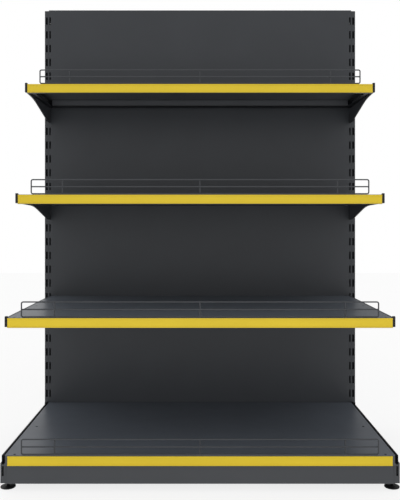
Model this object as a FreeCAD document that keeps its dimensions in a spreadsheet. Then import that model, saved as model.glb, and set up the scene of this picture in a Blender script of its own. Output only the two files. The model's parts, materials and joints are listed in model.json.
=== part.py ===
import FreeCAD, Part
import os
import Sketcher

# Retail shelving unit: one wall bay with a clad back, a base deck and three hook-on shelves.
# X runs along the bay, the front faces -Y and Z rises from the floor.
# The origin lies on the floor under the middle of the unit.

SIZES = [
    # Uprights and their slots
    ("bay_length", 1000, "upright centre to upright centre"),
    ("upright_width", 25, "tube width"),
    ("upright_depth", 60, "tube depth"),
    ("upright_wall", 2, "tube wall"),
    ("upright_radius", 2, "outer corner radius"),
    ("upright_base", 12, "floor to the lower end of the tube"),
    ("upright_height", 1371.5, "tube length"),
    ("slot_width", 5.8, "width of a slot"),
    ("slot_height", 24, "height of a slot"),
    ("slot_pitch", 45.5, "slot to slot"),
    ("slot_spacing", 11.2, "column to column"),
    ("slot_base", 78.5, "floor to the centre of the lowest slot"),
    ("slot_margin", 25, "least length of tube above the centre of the highest slot"),
    ("cap_flange", 2, "thickness of the cap's top"),
    ("cap_plug", 12, "length of the plug in the tube"),
    ("slip", 0.3, "clearance between pieces that slide past each other"),
    ("seat", 0.2, "clearance under a piece that rests on a ledge"),
    # Back panels
    ("panel_sheet", 1, "sheet thickness"),
    ("panel_margin", 1.5, "panel edge to the upright's centre line"),
    ("panel_return", 12, "depth of the folded edges"),
    ("panel_rise", 2.5, "top of the back above the caps"),
    ("panel_foot", 1.5, "deck to the shoulders of the lowest panel"),
    ("panel_skirt", 30, "length of the lowest panel behind the deck"),
    ("panel_bend", 0.8, "outside radius of the panel's folds"),
    ("panel_seam", 0.6, "gap between stacked panels"),
    ("seam_drop", 16, "slot centre to the seam below it"),
    ("notch_margin", 0.6, "notch edge beyond the slot edge"),
    ("panel_hook_neck", 10, "height of a panel hook's neck"),
    ("panel_hook_drop", 6, "length of a panel hook's prong"),
    ("panel_hook_depth", 3, "depth of a panel hook's prong"),
    # Tie bars and their bolts
    ("tie_height", 40, "height of the bar"),
    ("tie_depth", 20, "depth of the bar"),
    ("tie_wall", 2, "wall of the bar"),
    ("tie_plate", 3, "thickness of the end plate"),
    ("tie_plate_height", 80, "height of the end plate"),
    ("tie_plate_depth", 30, "depth of the end plate"),
    ("tie_setback", 30, "upright face to the middle of the bar"),
    ("tie_top_drop", 60, "upper end of the uprights to the top bar"),
    ("tie_base_rise", 112, "floor to the bottom bar"),
    ("bolt_diameter", 8, "shank diameter"),
    ("bolt_length", 16, "shank length"),
    ("bolt_head", 13, "width across flats"),
    ("bolt_head_height", 5.3, "head height"),
    ("bolt_spacing", 58, "bolt to bolt on an end plate"),
    ("rivet_diameter", 11, "outside of the rivet nut"),
    ("rivet_length", 12, "length of the rivet nut"),
    ("thread_fit", 0.1, "radial clearance of a thread"),
    # Base legs
    ("base_height", 95, "floor to the deck"),
    ("floor_gap", 20, "floor to the kick plate and its holders"),
    ("leg_width", 5.6, "width of the folded leg"),
    ("leg_offset", 2.5, "leg's middle outside the upright's centre line"),
    ("leg_wall", 1.5, "sheet thickness of the leg"),
    ("leg_rise", 1.5, "top of the leg above the deck"),
    ("leg_reach", 508, "upright face to the leg's nose"),
    ("leg_bend", 1.2, "outside radius of the leg's folds"),
    ("leg_step", 72.5, "floor to the underside of the leg's nose"),
    ("leg_arch_width", 30, "opening over a front foot"),
    ("leg_arch_top", 58, "floor to the top of that opening"),
    ("flange_sheet", 2, "thickness of the leg's rear flange"),
    ("flange_base", 25, "floor to the lower edge of the rear flange"),
    ("flange_drop", 1, "deck to the upper edge of the rear flange"),
    ("leg_hook_plate", 3, "thickness of a leg's hook"),
    ("hook_neck", 12, "height of a hook's neck"),
    ("hook_drop", 10, "length of a hook's prong"),
    ("hook_depth", 5, "depth of a hook's prong"),
    # Kick plate and its holders
    ("holder_inset", 11, "leg's nose to the holder's front"),
    ("holder_width", 25, "width of a holder"),
    ("holder_sheet", 2, "thickness of a holder"),
    ("holder_top", 72, "floor to the holder's upper edge"),
    ("holder_floor", 57, "depth of the holder's bottom plate"),
    ("kick_slot_width", 4.8, "width of a holder slot"),
    ("kick_slot_height", 25, "height of a holder slot"),
    ("kick_slot_base", 39, "floor to the lower end of a holder slot"),
    ("kick_slot_spacing", 11.8, "slot to slot on a holder"),
    ("kick_inset", 7, "leg's nose to the kick plate's front"),
    ("kick_sheet", 1.2, "sheet thickness"),
    ("kick_height", 46.5, "height of the kick plate"),
    ("kick_return", 10, "depth of its folded edges"),
    ("kick_bend", 1, "outside radius of its folds"),
    # Shelf trays
    ("reach_short", 307, "upright face to the front of the top tray"),
    ("reach_middle", 407, "upright face to the front of the middle tray"),
    ("reach_deep", 507, "upright face to the front of the lower tray"),
    ("tray_sheet", 1.2, "sheet thickness"),
    ("tray_bend", 1.8, "outside radius of the tray's folds"),
    ("tray_rise", 3.5, "tray above the centre of its upper slot"),
    ("tray_side_gap", 0.4, "tray end to the bracket or leg beside it"),
    ("front_lip", 26, "height of the front lip"),
    ("side_lip", 18, "height of the side and rear lips"),
    ("front_return", 5.2, "depth of the fold under the front lip"),
    ("peg_hole", 7, "diameter of the accessory holes"),
    ("peg_margin", 17, "shelf tray's end to the accessory holes"),
    ("peg_front", 8, "tray front to the first accessory hole"),
    ("peg_spacing", 235, "accessory hole to accessory hole"),
    ("hat_sheet", 1.2, "sheet thickness of a stiffener"),
    ("hat_height", 18, "height of a stiffener"),
    ("hat_width", 63, "width over a stiffener's flanges"),
    ("hat_flange", 12, "width of one flange"),
    ("hat_rear", 8, "upright face to the rear stiffener"),
    ("hat_front", 290, "upright face to the front stiffener of the deep trays"),
    ("hat_margin", 3, "stiffener end to the ledge"),
    ("strip_margin", 1, "shelf tray's end to the end of a ticket strip"),
    ("strip_drop", 0.9, "tray to the top of a ticket strip"),
    ("strip_height", 25.1, "height of a ticket strip"),
    ("strip_depth", 3, "depth over its lips"),
    ("strip_wall", 0.9, "wall of a ticket strip"),
    ("strip_lip", 3, "height of the lips that hold the ticket card"),
    ("strip_bend", 0.6, "radius along the outer edges of a ticket strip"),
    ("card_sheet", 0.8, "thickness of a ticket card"),
    ("card_fit", 0.2, "clearance between a ticket card and its strip"),
    # Brackets
    ("bracket_plate", 4, "plate thickness"),
    ("nose_over", 1, "nose of a bracket or leg beyond the tray's front"),
    ("nose_rise", 3, "top of a bracket's nose above the tray"),
    ("nose_length", 9, "length of the nose behind the tray's front"),
    ("nose_slope", 4, "length of the slope up to the nose"),
    ("nose_drop", 23.5, "tray to the nose's lower corner"),
    ("knee_reach", 218, "upright face to the knee of the lower edge"),
    ("knee_drop", 27.4, "tray to the knee"),
    ("heel_reach", 45, "upright face to the heel of the lower edge"),
    ("heel_drop", 65.7, "tray to the heel"),
    ("root_drop", 67.6, "tray to the lower corner at the upright"),
    ("knee_radius", 450, "radius at the knee"),
    ("heel_radius", 150, "radius at the heel"),
    ("nose_radius", 4, "radius at the nose's lower corner"),
    ("nose_tip", 2, "radius at the nose's upper corner"),
    ("ledge_width", 14, "width of the ledge that carries a tray"),
    ("ledge_sheet", 2, "thickness of the ledge"),
    ("ledge_rear", 25, "upright face to the ledge"),
    ("ledge_front", 27, "tray front to the ledge"),
    # Wire fences
    ("fence_margin", 36, "shelf tray's end to the end wire"),
    ("fence_height", 40, "tray to the top wire's centre"),
    ("fence_wire", 3.5, "wire diameter"),
    ("fence_bend", 4.5, "bend radius at the corners"),
    ("fence_inset", 2.6, "tray front to the centre of the bent wire"),
    ("post_margin", 84, "end wire to the outer post"),
    ("fence_pin", 8, "length of the pins below the tray"),
    ("fence_weld", 0.5, "depth to which crossing wires are welded together"),
    ("pin_fit", 0.4, "radial clearance of a pin in the tray"),
    # Levelling feet
    ("foot_inset", 39, "leg's nose to a front foot"),
    ("pad_diameter", 39, "pad diameter"),
    ("pad_rim", 3, "height of the pad's rim"),
    ("pad_bevel", 0.6, "bevel at the floor"),
    ("pad_height", 6, "height of the pad's hub"),
    ("pad_hub", 20, "diameter of the pad's hub"),
    ("pad_floor", 2, "thickness under the stem"),
    ("stem_diameter", 10, "stem diameter"),
    ("stem_length", 48, "stem length"),
    ("nut_width", 17, "width across flats"),
    ("nut_height", 8, "height of a weld nut"),
    ("jam_height", 6, "height of a jam nut"),
    ("insert_height", 15, "height of the insert in an upright"),
]

# Slot rows, counted upwards from the lowest, that carry the legs and the upper hooks of the shelves.
# The lower hook of a shelf bracket sits one row further down.
LEG_ROW = 0
LOWER_ROW = 8
MIDDLE_ROW = 15
TOP_ROW = 22

# Distance below which two points count as one
TOUCH = 1e-4

doc = FreeCAD.newDocument("ShelvingUnit")
sheet = doc.addObject("Spreadsheet::Sheet", "Dims")
for line, (alias, size, meaning) in enumerate(SIZES, start=1):
    sheet.set(f"A{line}", meaning)
    sheet.set(f"B{line}", str(size))
    sheet.setAlias(f"B{line}", alias)
doc.recompute()

# Places that several pieces share
DECK_REACH = "(Dims.leg_reach - Dims.nose_over)"
FRONT_REACH = f"(max(Dims.reach_deep; {DECK_REACH}) + Dims.strip_depth)"
FACE = f"(({FRONT_REACH} - Dims.upright_depth) / 2)"
COLUMN = "(Dims.bay_length / 2)"
SLOT_X = "((Dims.bay_length - Dims.slot_spacing) / 2)"
UPRIGHT_TOP = "(Dims.upright_base + Dims.upright_height)"
SLOT_LADDER = f"({UPRIGHT_TOP} - Dims.slot_margin - Dims.slot_base)"
SLOT_COUNT = f"(floor({SLOT_LADDER} / Dims.slot_pitch) + 1)"
WALL_BACK = "(Dims.upright_wall + Dims.slip)"
PANEL_EDGE = "(Dims.bay_length / 2 - Dims.panel_margin)"
PANEL_TOP = f"({UPRIGHT_TOP} + Dims.cap_flange + Dims.panel_rise)"
PANEL_BASE = "(Dims.base_height + Dims.panel_foot)"
PANEL_FOOT = "(Dims.base_height - Dims.panel_skirt)"
UPRIGHT_GAP = "(Dims.bay_length - Dims.upright_width - 2 * Dims.slip)"
BRACKET_INNER = f"({SLOT_X} - Dims.bracket_plate / 2)"
LEG_INNER = f"({COLUMN} + Dims.leg_offset - Dims.leg_width / 2)"
SHELF_HALF = f"({BRACKET_INNER} - Dims.tray_side_gap)"
DECK_HALF = f"({LEG_INNER} - Dims.tray_side_gap)"
SHELF_REAR = "(Dims.panel_sheet + Dims.slip)"
DECK_REAR = "(Dims.flange_sheet + Dims.slip)"
KICK_HALF = f"({COLUMN} - Dims.kick_slot_spacing / 2 + Dims.kick_sheet)"
PEG_X = f"({SHELF_HALF} - Dims.peg_margin)"
STRIP_HALF = f"({SHELF_HALF} - Dims.strip_margin)"
FENCE_HALF = f"({SHELF_HALF} - Dims.fence_margin)"
FENCE_LOW = "(Dims.fence_wire / 2 + Dims.seat)"
POST_X = f"({FENCE_HALF} - Dims.post_margin)"
POST_SETBACK = "(Dims.fence_wire - Dims.fence_weld)"
LEDGE_TOP = "(-Dims.side_lip - Dims.seat)"
HOLDER_REACH = "(Dims.leg_reach - Dims.holder_inset)"
KICK_REACH = "(Dims.leg_reach - Dims.kick_inset)"
FOOT_REACH = "(Dims.leg_reach - Dims.foot_inset)"
FRONT_FOOT_Y = f"({FACE} - {FOOT_REACH})"
REAR_FOOT_Y = f"({FACE} + Dims.upright_depth / 2)"

parts = []
cuts = []


def value(expression):
    return float(sheet.evalExpression(expression))


def row_height(row):
    return f"(Dims.slot_base + {row} * Dims.slot_pitch)"


def seam_height(row):
    return f"({row_height(row)} - Dims.seam_drop)"


def shelf_height(row):
    return f"({row_height(row)} + Dims.tray_rise)"


def new_body(name):
    body = doc.addObject("PartDesign::Body", name)
    body.Label = name
    parts.append(body)
    return body


def place(item, x="0", y="0", z="0"):
    item.setExpression("Placement.Base.x", x)
    item.setExpression("Placement.Base.y", y)
    item.setExpression("Placement.Base.z", z)


def rectangle(left, bottom, right, top):
    return [(left, bottom), (right, bottom), (right, top), (left, top)]


def hook(start, back, rest, neck, drop, depth):
    """Side view of a hook: a neck that rests at one height and a prong behind the wall."""
    tip = f"({back} + {depth})"
    top = f"({rest} + {neck})"
    point = f"({rest} - {drop})"
    return [(start, rest), (start, top), (tip, top), (tip, point), (back, point), (back, rest)]


def bind(sketch, kind, geometry, point, expression):
    index = sketch.addConstraint(Sketcher.Constraint(kind, geometry, point, value(expression)))
    sketch.setExpression(f"Constraints[{index}]", expression)


def add_outline(sketch, corners):
    first = sketch.GeometryCount
    count = len(corners)
    points = [FreeCAD.Vector(value(u), value(v), 0) for u, v in corners]
    for start, end in zip(points, points[1:] + points[:1]):
        sketch.addGeometry(Part.LineSegment(start, end), False)
    for i in range(count):
        following = first + (i + 1) % count
        sketch.addConstraint(Sketcher.Constraint("Coincident", first + i, 2, following, 1))
    for i, (u, v) in enumerate(corners):
        bind(sketch, "DistanceX", first + i, 1, u)
        bind(sketch, "DistanceY", first + i, 1, v)


def add_circle(sketch, u, v, radius):
    centre = FreeCAD.Vector(value(u), value(v), 0)
    circle = Part.Circle(centre, FreeCAD.Vector(0, 0, 1), value(radius))
    index = sketch.addGeometry(circle, False)
    bind(sketch, "DistanceX", index, 3, u)
    bind(sketch, "DistanceY", index, 3, v)
    constraint = sketch.addConstraint(Sketcher.Constraint("Radius", index, value(radius)))
    sketch.setExpression(f"Constraints[{constraint}]", radius)


def draw(body, name, role, height="0", outlines=(), circles=()):
    """Sketch parallel to an origin plane, at a height along that plane's normal."""
    plane = next(item for item in body.Origin.OriginFeatures if item.Role == role)
    sketch = body.newObject("Sketcher::SketchObject", name)
    sketch.AttachmentSupport = (plane, [""])
    sketch.MapMode = "FlatFace"
    sketch.setExpression("AttachmentOffset.Base.z", height)
    for corners in outlines:
        add_outline(sketch, corners)
    for u, v, radius in circles:
        add_circle(sketch, u, v, radius)
    return sketch


def front_view(body, name, y, outlines=(), circles=()):
    return draw(body, name, "XZ_Plane", f"-({y})", outlines, circles)


def side_view(body, name, x, outlines=(), circles=()):
    return draw(body, name, "YZ_Plane", x, outlines, circles)


def top_view(body, name, z, outlines=(), circles=()):
    return draw(body, name, "XY_Plane", z, outlines, circles)


def extrude(body, name, sketch, length, centred=False, backwards=False):
    pad = body.newObject("PartDesign::Pad", name)
    pad.Profile = sketch
    pad.setExpression("Length", length)
    pad.SideType = "Symmetric" if centred else "One side"
    pad.Reversed = backwards
    return pad


def cut(body, name, sketch, length, centred=False, backwards=False):
    pocket = body.newObject("PartDesign::Pocket", name)
    pocket.Profile = sketch
    pocket.setExpression("Length", length)
    pocket.SideType = "Symmetric" if centred else "One side"
    pocket.Reversed = backwards
    cuts.append(pocket)
    return pocket


def repeat_up(body, name, feature, sketch, spacing, count):
    pattern = body.newObject("PartDesign::LinearPattern", name)
    pattern.Originals = [feature]
    pattern.Direction = (sketch, ["V_Axis"])
    pattern.Mode = "Spacing"
    pattern.setExpression("Offset", spacing)
    pattern.setExpression("Occurrences", count)
    body.Tip = pattern
    return pattern


def round_edges(body, name, feature, chosen, radius):
    """Fillet on the edges of a feature for which chosen(start, end) holds."""
    doc.recompute()
    names = []
    for number, edge in enumerate(feature.Shape.Edges, start=1):
        ends = [vertex.Point for vertex in edge.Vertexes]
        if len(ends) == 2 and chosen(ends[0], ends[1]):
            names.append(f"Edge{number}")
    fillet = body.newObject("PartDesign::Fillet", name)
    fillet.Base = (feature, names)
    fillet.setExpression("Radius", radius)
    body.Tip = fillet
    return fillet


def across_at(y, *heights):
    """Test for an edge that runs along X at y and at one of the heights."""
    target_y = value(y)
    levels = [value(height) for height in heights]

    def chosen(start, end):
        level = any(abs(start.z - z) + abs(end.z - z) < TOUCH for z in levels)
        return level and abs(start.y - target_y) + abs(end.y - target_y) < TOUCH

    return chosen


def rim_at(z):
    """Test for an edge that lies at one height."""
    level = value(z)

    def chosen(start, end):
        return abs(start.z - level) + abs(end.z - level) < TOUCH

    return chosen


def upright_edge(start, end):
    return abs(start.x - end.x) + abs(start.y - end.y) < TOUCH


def upright(name, side):
    body = new_body(name)
    place(body, x=f"{side} * {COLUMN}", y=FACE)
    half = "Dims.upright_width / 2"
    wall = "Dims.upright_wall"
    outer = rectangle(f"-{half}", "0", half, "Dims.upright_depth")
    section = top_view(body, "Section", "Dims.upright_base", [outer])
    tube = extrude(body, "Tube", section, "Dims.upright_height")

    round_edges(body, "Corners", tube, upright_edge, "Dims.upright_radius")
    inner = rectangle(f"-{half} + {wall}", wall, f"{half} - {wall}", f"Dims.upright_depth - {wall}")
    bore = top_view(body, "BoreSection", "Dims.upright_base", [inner])
    cut(body, "Bore", bore, "Dims.upright_height", backwards=True)
    slots = []
    for column in (-1, 1):
        centre = f"{column} * Dims.slot_spacing / 2"
        left = f"{centre} - Dims.slot_width / 2"
        right = f"{centre} + Dims.slot_width / 2"
        bottom = f"{row_height(0)} - Dims.slot_height / 2"
        top = f"{row_height(0)} + Dims.slot_height / 2"
        slots.append(rectangle(left, bottom, right, top))
    first_row = front_view(body, "FirstRow", "0", slots)
    slot = cut(body, "Slots", first_row, wall)
    repeat_up(body, "SlotRows", slot, first_row, "Dims.slot_pitch", SLOT_COUNT)
    holes = []
    for bar in (f"{UPRIGHT_TOP} - Dims.tie_top_drop", "Dims.tie_base_rise"):
        for end in (-1, 1):
            z = f"{bar} + {end} * Dims.bolt_spacing / 2"
            holes.append(("Dims.tie_setback", z, "Dims.rivet_diameter / 2 + Dims.thread_fit"))
    bolt_holes = side_view(body, "BoltHoleCentres", f"{-side} * {half}", circles=holes)
    cut(body, "BoltHoles", bolt_holes, wall, backwards=side > 0)


def upright_cap(name, side):
    body = new_body(name)
    place(body, x=f"{side} * {COLUMN}", y=FACE, z=UPRIGHT_TOP)
    half = "Dims.upright_width / 2"
    inset = "(Dims.upright_wall + Dims.thread_fit)"
    outer = rectangle(f"-{half}", "0", half, "Dims.upright_depth")
    lid = extrude(body, "Lid", top_view(body, "LidOutline", "0", [outer]), "Dims.cap_flange")

    round_edges(body, "Corners", lid, upright_edge, "Dims.upright_radius")
    inner = rectangle(f"-{half} + {inset}", inset, f"{half} - {inset}", f"Dims.upright_depth - {inset}")
    plug = top_view(body, "PlugOutline", "0", [inner])
    extrude(body, "Plug", plug, "Dims.cap_plug", backwards=True)


def back_panel(name, foot, bottom, top, first_row, row_count, hook_rows):
    """Sheet from bottom to top, with a skirt between the uprights down to its foot."""
    body = new_body(name)
    place(body, y=FACE)
    face = rectangle(f"-{PANEL_EDGE}", bottom, PANEL_EDGE, top)
    extrude(body, "Face", front_view(body, "FaceOutline", "0", [face]), "Dims.panel_sheet")
    if foot != bottom:
        skirt = rectangle(f"-{UPRIGHT_GAP} / 2", foot, f"{UPRIGHT_GAP} / 2", bottom)
        extrude(body, "Skirt", front_view(body, "SkirtOutline", "0", [skirt]), "Dims.panel_sheet")
    notch_inner = f"({SLOT_X} - Dims.slot_width / 2 - Dims.notch_margin)"
    notch_bottom = f"{row_height(first_row)} - Dims.slot_height / 2 - Dims.notch_margin"
    notch_top = f"{row_height(first_row)} + Dims.slot_height / 2 + Dims.notch_margin"
    notches = []
    for side in (-1, 1):
        edge = f"{side} * {COLUMN}"
        notches.append(rectangle(f"{side} * {notch_inner}", notch_bottom, edge, notch_top))
    notch_row = front_view(body, "NotchRow", "0", notches)
    notch = cut(body, "Notches", notch_row, "Dims.panel_sheet", backwards=True)
    repeat_up(body, "NotchRows", notch, notch_row, "Dims.slot_pitch", row_count)
    folds = [
        rectangle("0", foot, "Dims.panel_return", f"{foot} + Dims.panel_sheet"),
        rectangle("0", f"{top} - Dims.panel_sheet", "Dims.panel_return", top),
    ]
    fold_sections = side_view(body, "FoldSections", "0", folds)
    folded = extrude(body, "Folds", fold_sections, UPRIGHT_GAP, centred=True)
    round_edges(body, "Bends", folded, across_at("-Dims.panel_sheet", foot, top), "Dims.panel_bend")
    hooks = []
    for row in hook_rows:
        rest = f"({row_height(row)} - Dims.slot_height / 2)"
        hooks.append(hook("-Dims.panel_sheet", WALL_BACK, rest, "Dims.panel_hook_neck",
                          "Dims.panel_hook_drop", "Dims.panel_hook_depth"))
    hook_x = f"({notch_inner} + Dims.notch_margin + Dims.slip)"
    for side in (-1, 1):
        word = "Left" if side < 0 else "Right"
        views = side_view(body, f"{word}HookViews", f"{side} * {hook_x}", hooks)
        extrude(body, f"{word}Hooks", views, "Dims.panel_sheet", backwards=side < 0)
        bridge = []
        for row in hook_rows:
            rest = f"({row_height(row)} - Dims.slot_height / 2)"
            neck_top = f"{rest} + Dims.panel_hook_neck"
            start = f"{side} * ({notch_inner} - Dims.panel_sheet)"
            stop = f"{side} * ({hook_x} + Dims.panel_sheet)"
            bridge.append(rectangle(start, rest, stop, neck_top))
        bends = front_view(body, f"{word}BendViews", "0", bridge)
        extrude(body, f"{word}Bends", bends, "Dims.panel_sheet")


def back_panels():
    """Stacked panels, each hooked in rows that the shelf brackets leave free."""
    levels = (
        ("base", LEG_ROW + 1, LOWER_ROW), ("lower", LOWER_ROW, MIDDLE_ROW), ("upper", MIDDLE_ROW, TOP_ROW),
    )
    foot = PANEL_FOOT
    bottom = PANEL_BASE
    for word, first, above in levels:
        top = f"({seam_height(above)} - Dims.panel_seam)"
        hook_rows = (first + 1, above - 2)
        back_panel(f"back_panel_{word}", foot, bottom, top, first, str(above - first), hook_rows)
        foot = bottom = seam_height(above)
    top_rows = f"({SLOT_COUNT} - {TOP_ROW})"
    hook_rows = (TOP_ROW + 1, f"({SLOT_COUNT} - 1)")
    back_panel("back_panel_top", foot, bottom, PANEL_TOP, TOP_ROW, top_rows, hook_rows)


def tie_bar(name, height):
    body = new_body(name)
    place(body, y=f"{FACE} + Dims.tie_setback", z=height)
    gap = "(Dims.bay_length - Dims.upright_width)"
    half_depth = "Dims.tie_depth / 2"
    half_height = "Dims.tie_height / 2"
    wall = "Dims.tie_wall"
    outer = rectangle(f"-{half_depth}", f"-{half_height}", half_depth, half_height)
    inner = rectangle(f"-{half_depth} + {wall}", f"-{half_height} + {wall}",
                      f"{half_depth} - {wall}", f"{half_height} - {wall}")
    section = side_view(body, "Section", "0", [outer, inner])
    extrude(body, "Bar", section, f"{gap} - 2 * Dims.tie_plate", centred=True)
    plate_depth = "Dims.tie_plate_depth / 2"
    plate_height = "Dims.tie_plate_height / 2"
    plate = rectangle(f"-{plate_depth}", f"-{plate_height}", plate_depth, plate_height)
    radius = "Dims.bolt_diameter / 2 + Dims.slip"
    holes = [("0", f"{end} * Dims.bolt_spacing / 2", radius) for end in (-1, 1)]
    for side in (-1, 1):
        word = "Left" if side < 0 else "Right"
        outline = side_view(body, f"{word}Plate", f"{side} * {gap} / 2", [plate], holes)
        extrude(body, f"{word}EndPlate", outline, "Dims.tie_plate", backwards=side > 0)


def base_leg(name, side):
    body = new_body(name)
    place(body, x=f"{side} * {COLUMN}", y=FACE)
    middle = f"{side} * Dims.leg_offset"
    top = "(Dims.base_height + Dims.leg_rise)"
    floor = "(Dims.floor_gap + Dims.holder_sheet)"
    holder_back = f"(Dims.holder_sheet - {HOLDER_REACH})"
    arch_front = f"(-{FOOT_REACH} - Dims.leg_arch_width / 2)"
    arch_rear = f"(-{FOOT_REACH} + Dims.leg_arch_width / 2)"
    flange_front = "(-Dims.flange_sheet)"
    profile = [
        (flange_front, top), ("-Dims.leg_reach", top), ("-Dims.leg_reach", "Dims.leg_step"),
        (holder_back, "Dims.leg_step"), (holder_back, floor), (arch_front, floor),
        (arch_front, "Dims.leg_arch_top"), (arch_rear, "Dims.leg_arch_top"), (arch_rear, floor),
        (flange_front, floor),
    ]
    skin = extrude(body, "Skin", side_view(body, "Profile", middle, [profile]), "Dims.leg_width", centred=True)
    rear = value(flange_front)
    rim = rim_at(top)

    def outer_rim(start, end):
        return rim(start, end) and min(start.y, end.y) < rear - TOUCH

    round_edges(body, "Bends", skin, outer_rim, "Dims.leg_bend")
    wall = "Dims.leg_wall"
    hollow = [
        (flange_front, f"{top} - {wall}"), (f"-Dims.leg_reach + {wall}", f"{top} - {wall}"),
        (f"-Dims.leg_reach + {wall}", f"Dims.leg_step + {wall}"),
        (f"{holder_back} + {wall}", f"Dims.leg_step + {wall}"),
        (f"{holder_back} + {wall}", "0"), (flange_front, "0"),
    ]
    hollow_view = side_view(body, "HollowProfile", middle, [hollow])
    cut(body, "Hollow", hollow_view, f"Dims.leg_width - 2 * {wall}", centred=True)
    half = "Dims.upright_width / 2"
    flange = rectangle(f"-{half}", "Dims.flange_base", half, "Dims.base_height - Dims.flange_drop")
    extrude(body, "RearFlange", front_view(body, "FlangeOutline", "0", [flange]), "Dims.flange_sheet")
    rest = f"({row_height(LEG_ROW)} - Dims.slot_height / 2)"
    view = hook(flange_front, WALL_BACK, rest, "Dims.hook_neck", "Dims.hook_drop", "Dims.hook_depth")
    for column, word in ((-1, "Left"), (1, "Right")):
        hook_view = side_view(body, f"{word}HookView", f"{column} * Dims.slot_spacing / 2", [view])
        extrude(body, f"{word}Hook", hook_view, "Dims.leg_hook_plate", centred=True)
    ledge_outer = f"{middle} - {side} * (Dims.leg_width - Dims.leg_wall) / 2"
    ledge_inner = f"{middle} - {side} * (Dims.leg_width / 2 + Dims.ledge_width)"
    ledge_stop = f"-{DECK_REACH} + Dims.ledge_front"
    ledge = rectangle(ledge_inner, ledge_stop, ledge_outer, "-Dims.ledge_rear")
    ledge_view = top_view(body, "LedgeOutline", f"Dims.base_height + {LEDGE_TOP}", [ledge])
    extrude(body, "Ledge", ledge_view, "Dims.ledge_sheet", backwards=True)


def kick_holder(name, side):
    body = new_body(name)
    place(body, x=f"{side} * {COLUMN}", y=f"{FACE} - {HOLDER_REACH}")
    half = "Dims.holder_width / 2"
    plate = rectangle(f"-{half}", "Dims.floor_gap", half, "Dims.holder_top")
    slots = []
    for column in (-1, 1):
        centre = f"{column} * Dims.kick_slot_spacing / 2"
        slots.append(rectangle(f"{centre} - Dims.kick_slot_width / 2", "Dims.kick_slot_base",
                               f"{centre} + Dims.kick_slot_width / 2",
                               "Dims.kick_slot_base + Dims.kick_slot_height"))
    flange_view = front_view(body, "FlangeOutline", "0", [plate] + slots)
    extrude(body, "Flange", flange_view, "Dims.holder_sheet", backwards=True)
    floor = rectangle(f"-{half}", "0", half, "Dims.holder_floor")
    stem_hole = ("0", f"{HOLDER_REACH} - {FOOT_REACH}", "Dims.stem_diameter / 2 + Dims.slip")
    floor_view = top_view(body, "FloorOutline", "Dims.floor_gap", [floor], [stem_hole])
    extrude(body, "Floor", floor_view, "Dims.holder_sheet")
    cheeks = []
    for end in (-1, 1):
        outside = f"{end} * {half}"
        inside = f"{end} * ({half} - Dims.holder_sheet)"
        cheeks.append(rectangle(outside, "0", inside, "Dims.holder_floor"))
    cheek_view = top_view(body, "CheekOutlines", "Dims.floor_gap", cheeks)
    extrude(body, "Cheeks", cheek_view, "Dims.holder_top - Dims.floor_gap")


def kick_plate(name):
    body = new_body(name)
    place(body, y=f"{FACE} - {KICK_REACH}", z="Dims.floor_gap")
    plate = rectangle(f"-{KICK_HALF}", "0", KICK_HALF, "Dims.kick_height")
    plate_view = front_view(body, "PlateOutline", "0", [plate])
    extrude(body, "Plate", plate_view, "Dims.kick_sheet", backwards=True)
    sheet_back = "Dims.kick_sheet"
    fold_back = "Dims.kick_return"
    folds = [
        rectangle("0", "0", fold_back, sheet_back),
        rectangle("0", f"Dims.kick_height - {sheet_back}", fold_back, "Dims.kick_height"),
    ]
    fold_length = "Dims.bay_length - Dims.holder_width - 2 * Dims.slip"
    folded = extrude(body, "Folds", side_view(body, "FoldSections", "0", folds), fold_length, centred=True)
    round_edges(body, "Bends", folded, across_at("0", "0", "Dims.kick_height"), "Dims.kick_bend")
    holder_front = f"({KICK_REACH} - {HOLDER_REACH})"
    cheek = rectangle("0", "0", f"{holder_front} - Dims.slip", "Dims.kick_height")
    rest = "(Dims.kick_slot_base - Dims.floor_gap + Dims.seat)"
    back = f"({holder_front} + Dims.holder_sheet + Dims.slip)"
    tab = hook("0", back, rest, "Dims.hook_neck", "Dims.hook_drop", "Dims.hook_depth")
    for side in (-1, 1):
        word = "Left" if side < 0 else "Right"
        cheek_view = side_view(body, f"{word}CheekView", f"{side} * {KICK_HALF}", [cheek])
        extrude(body, f"{word}Cheek", cheek_view, "Dims.kick_sheet", backwards=side > 0)
        tab_view = side_view(body, f"{word}HookView", f"{side} * {KICK_HALF}", [tab])
        extrude(body, f"{word}Hook", tab_view, "Dims.kick_sheet", backwards=side > 0)


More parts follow.
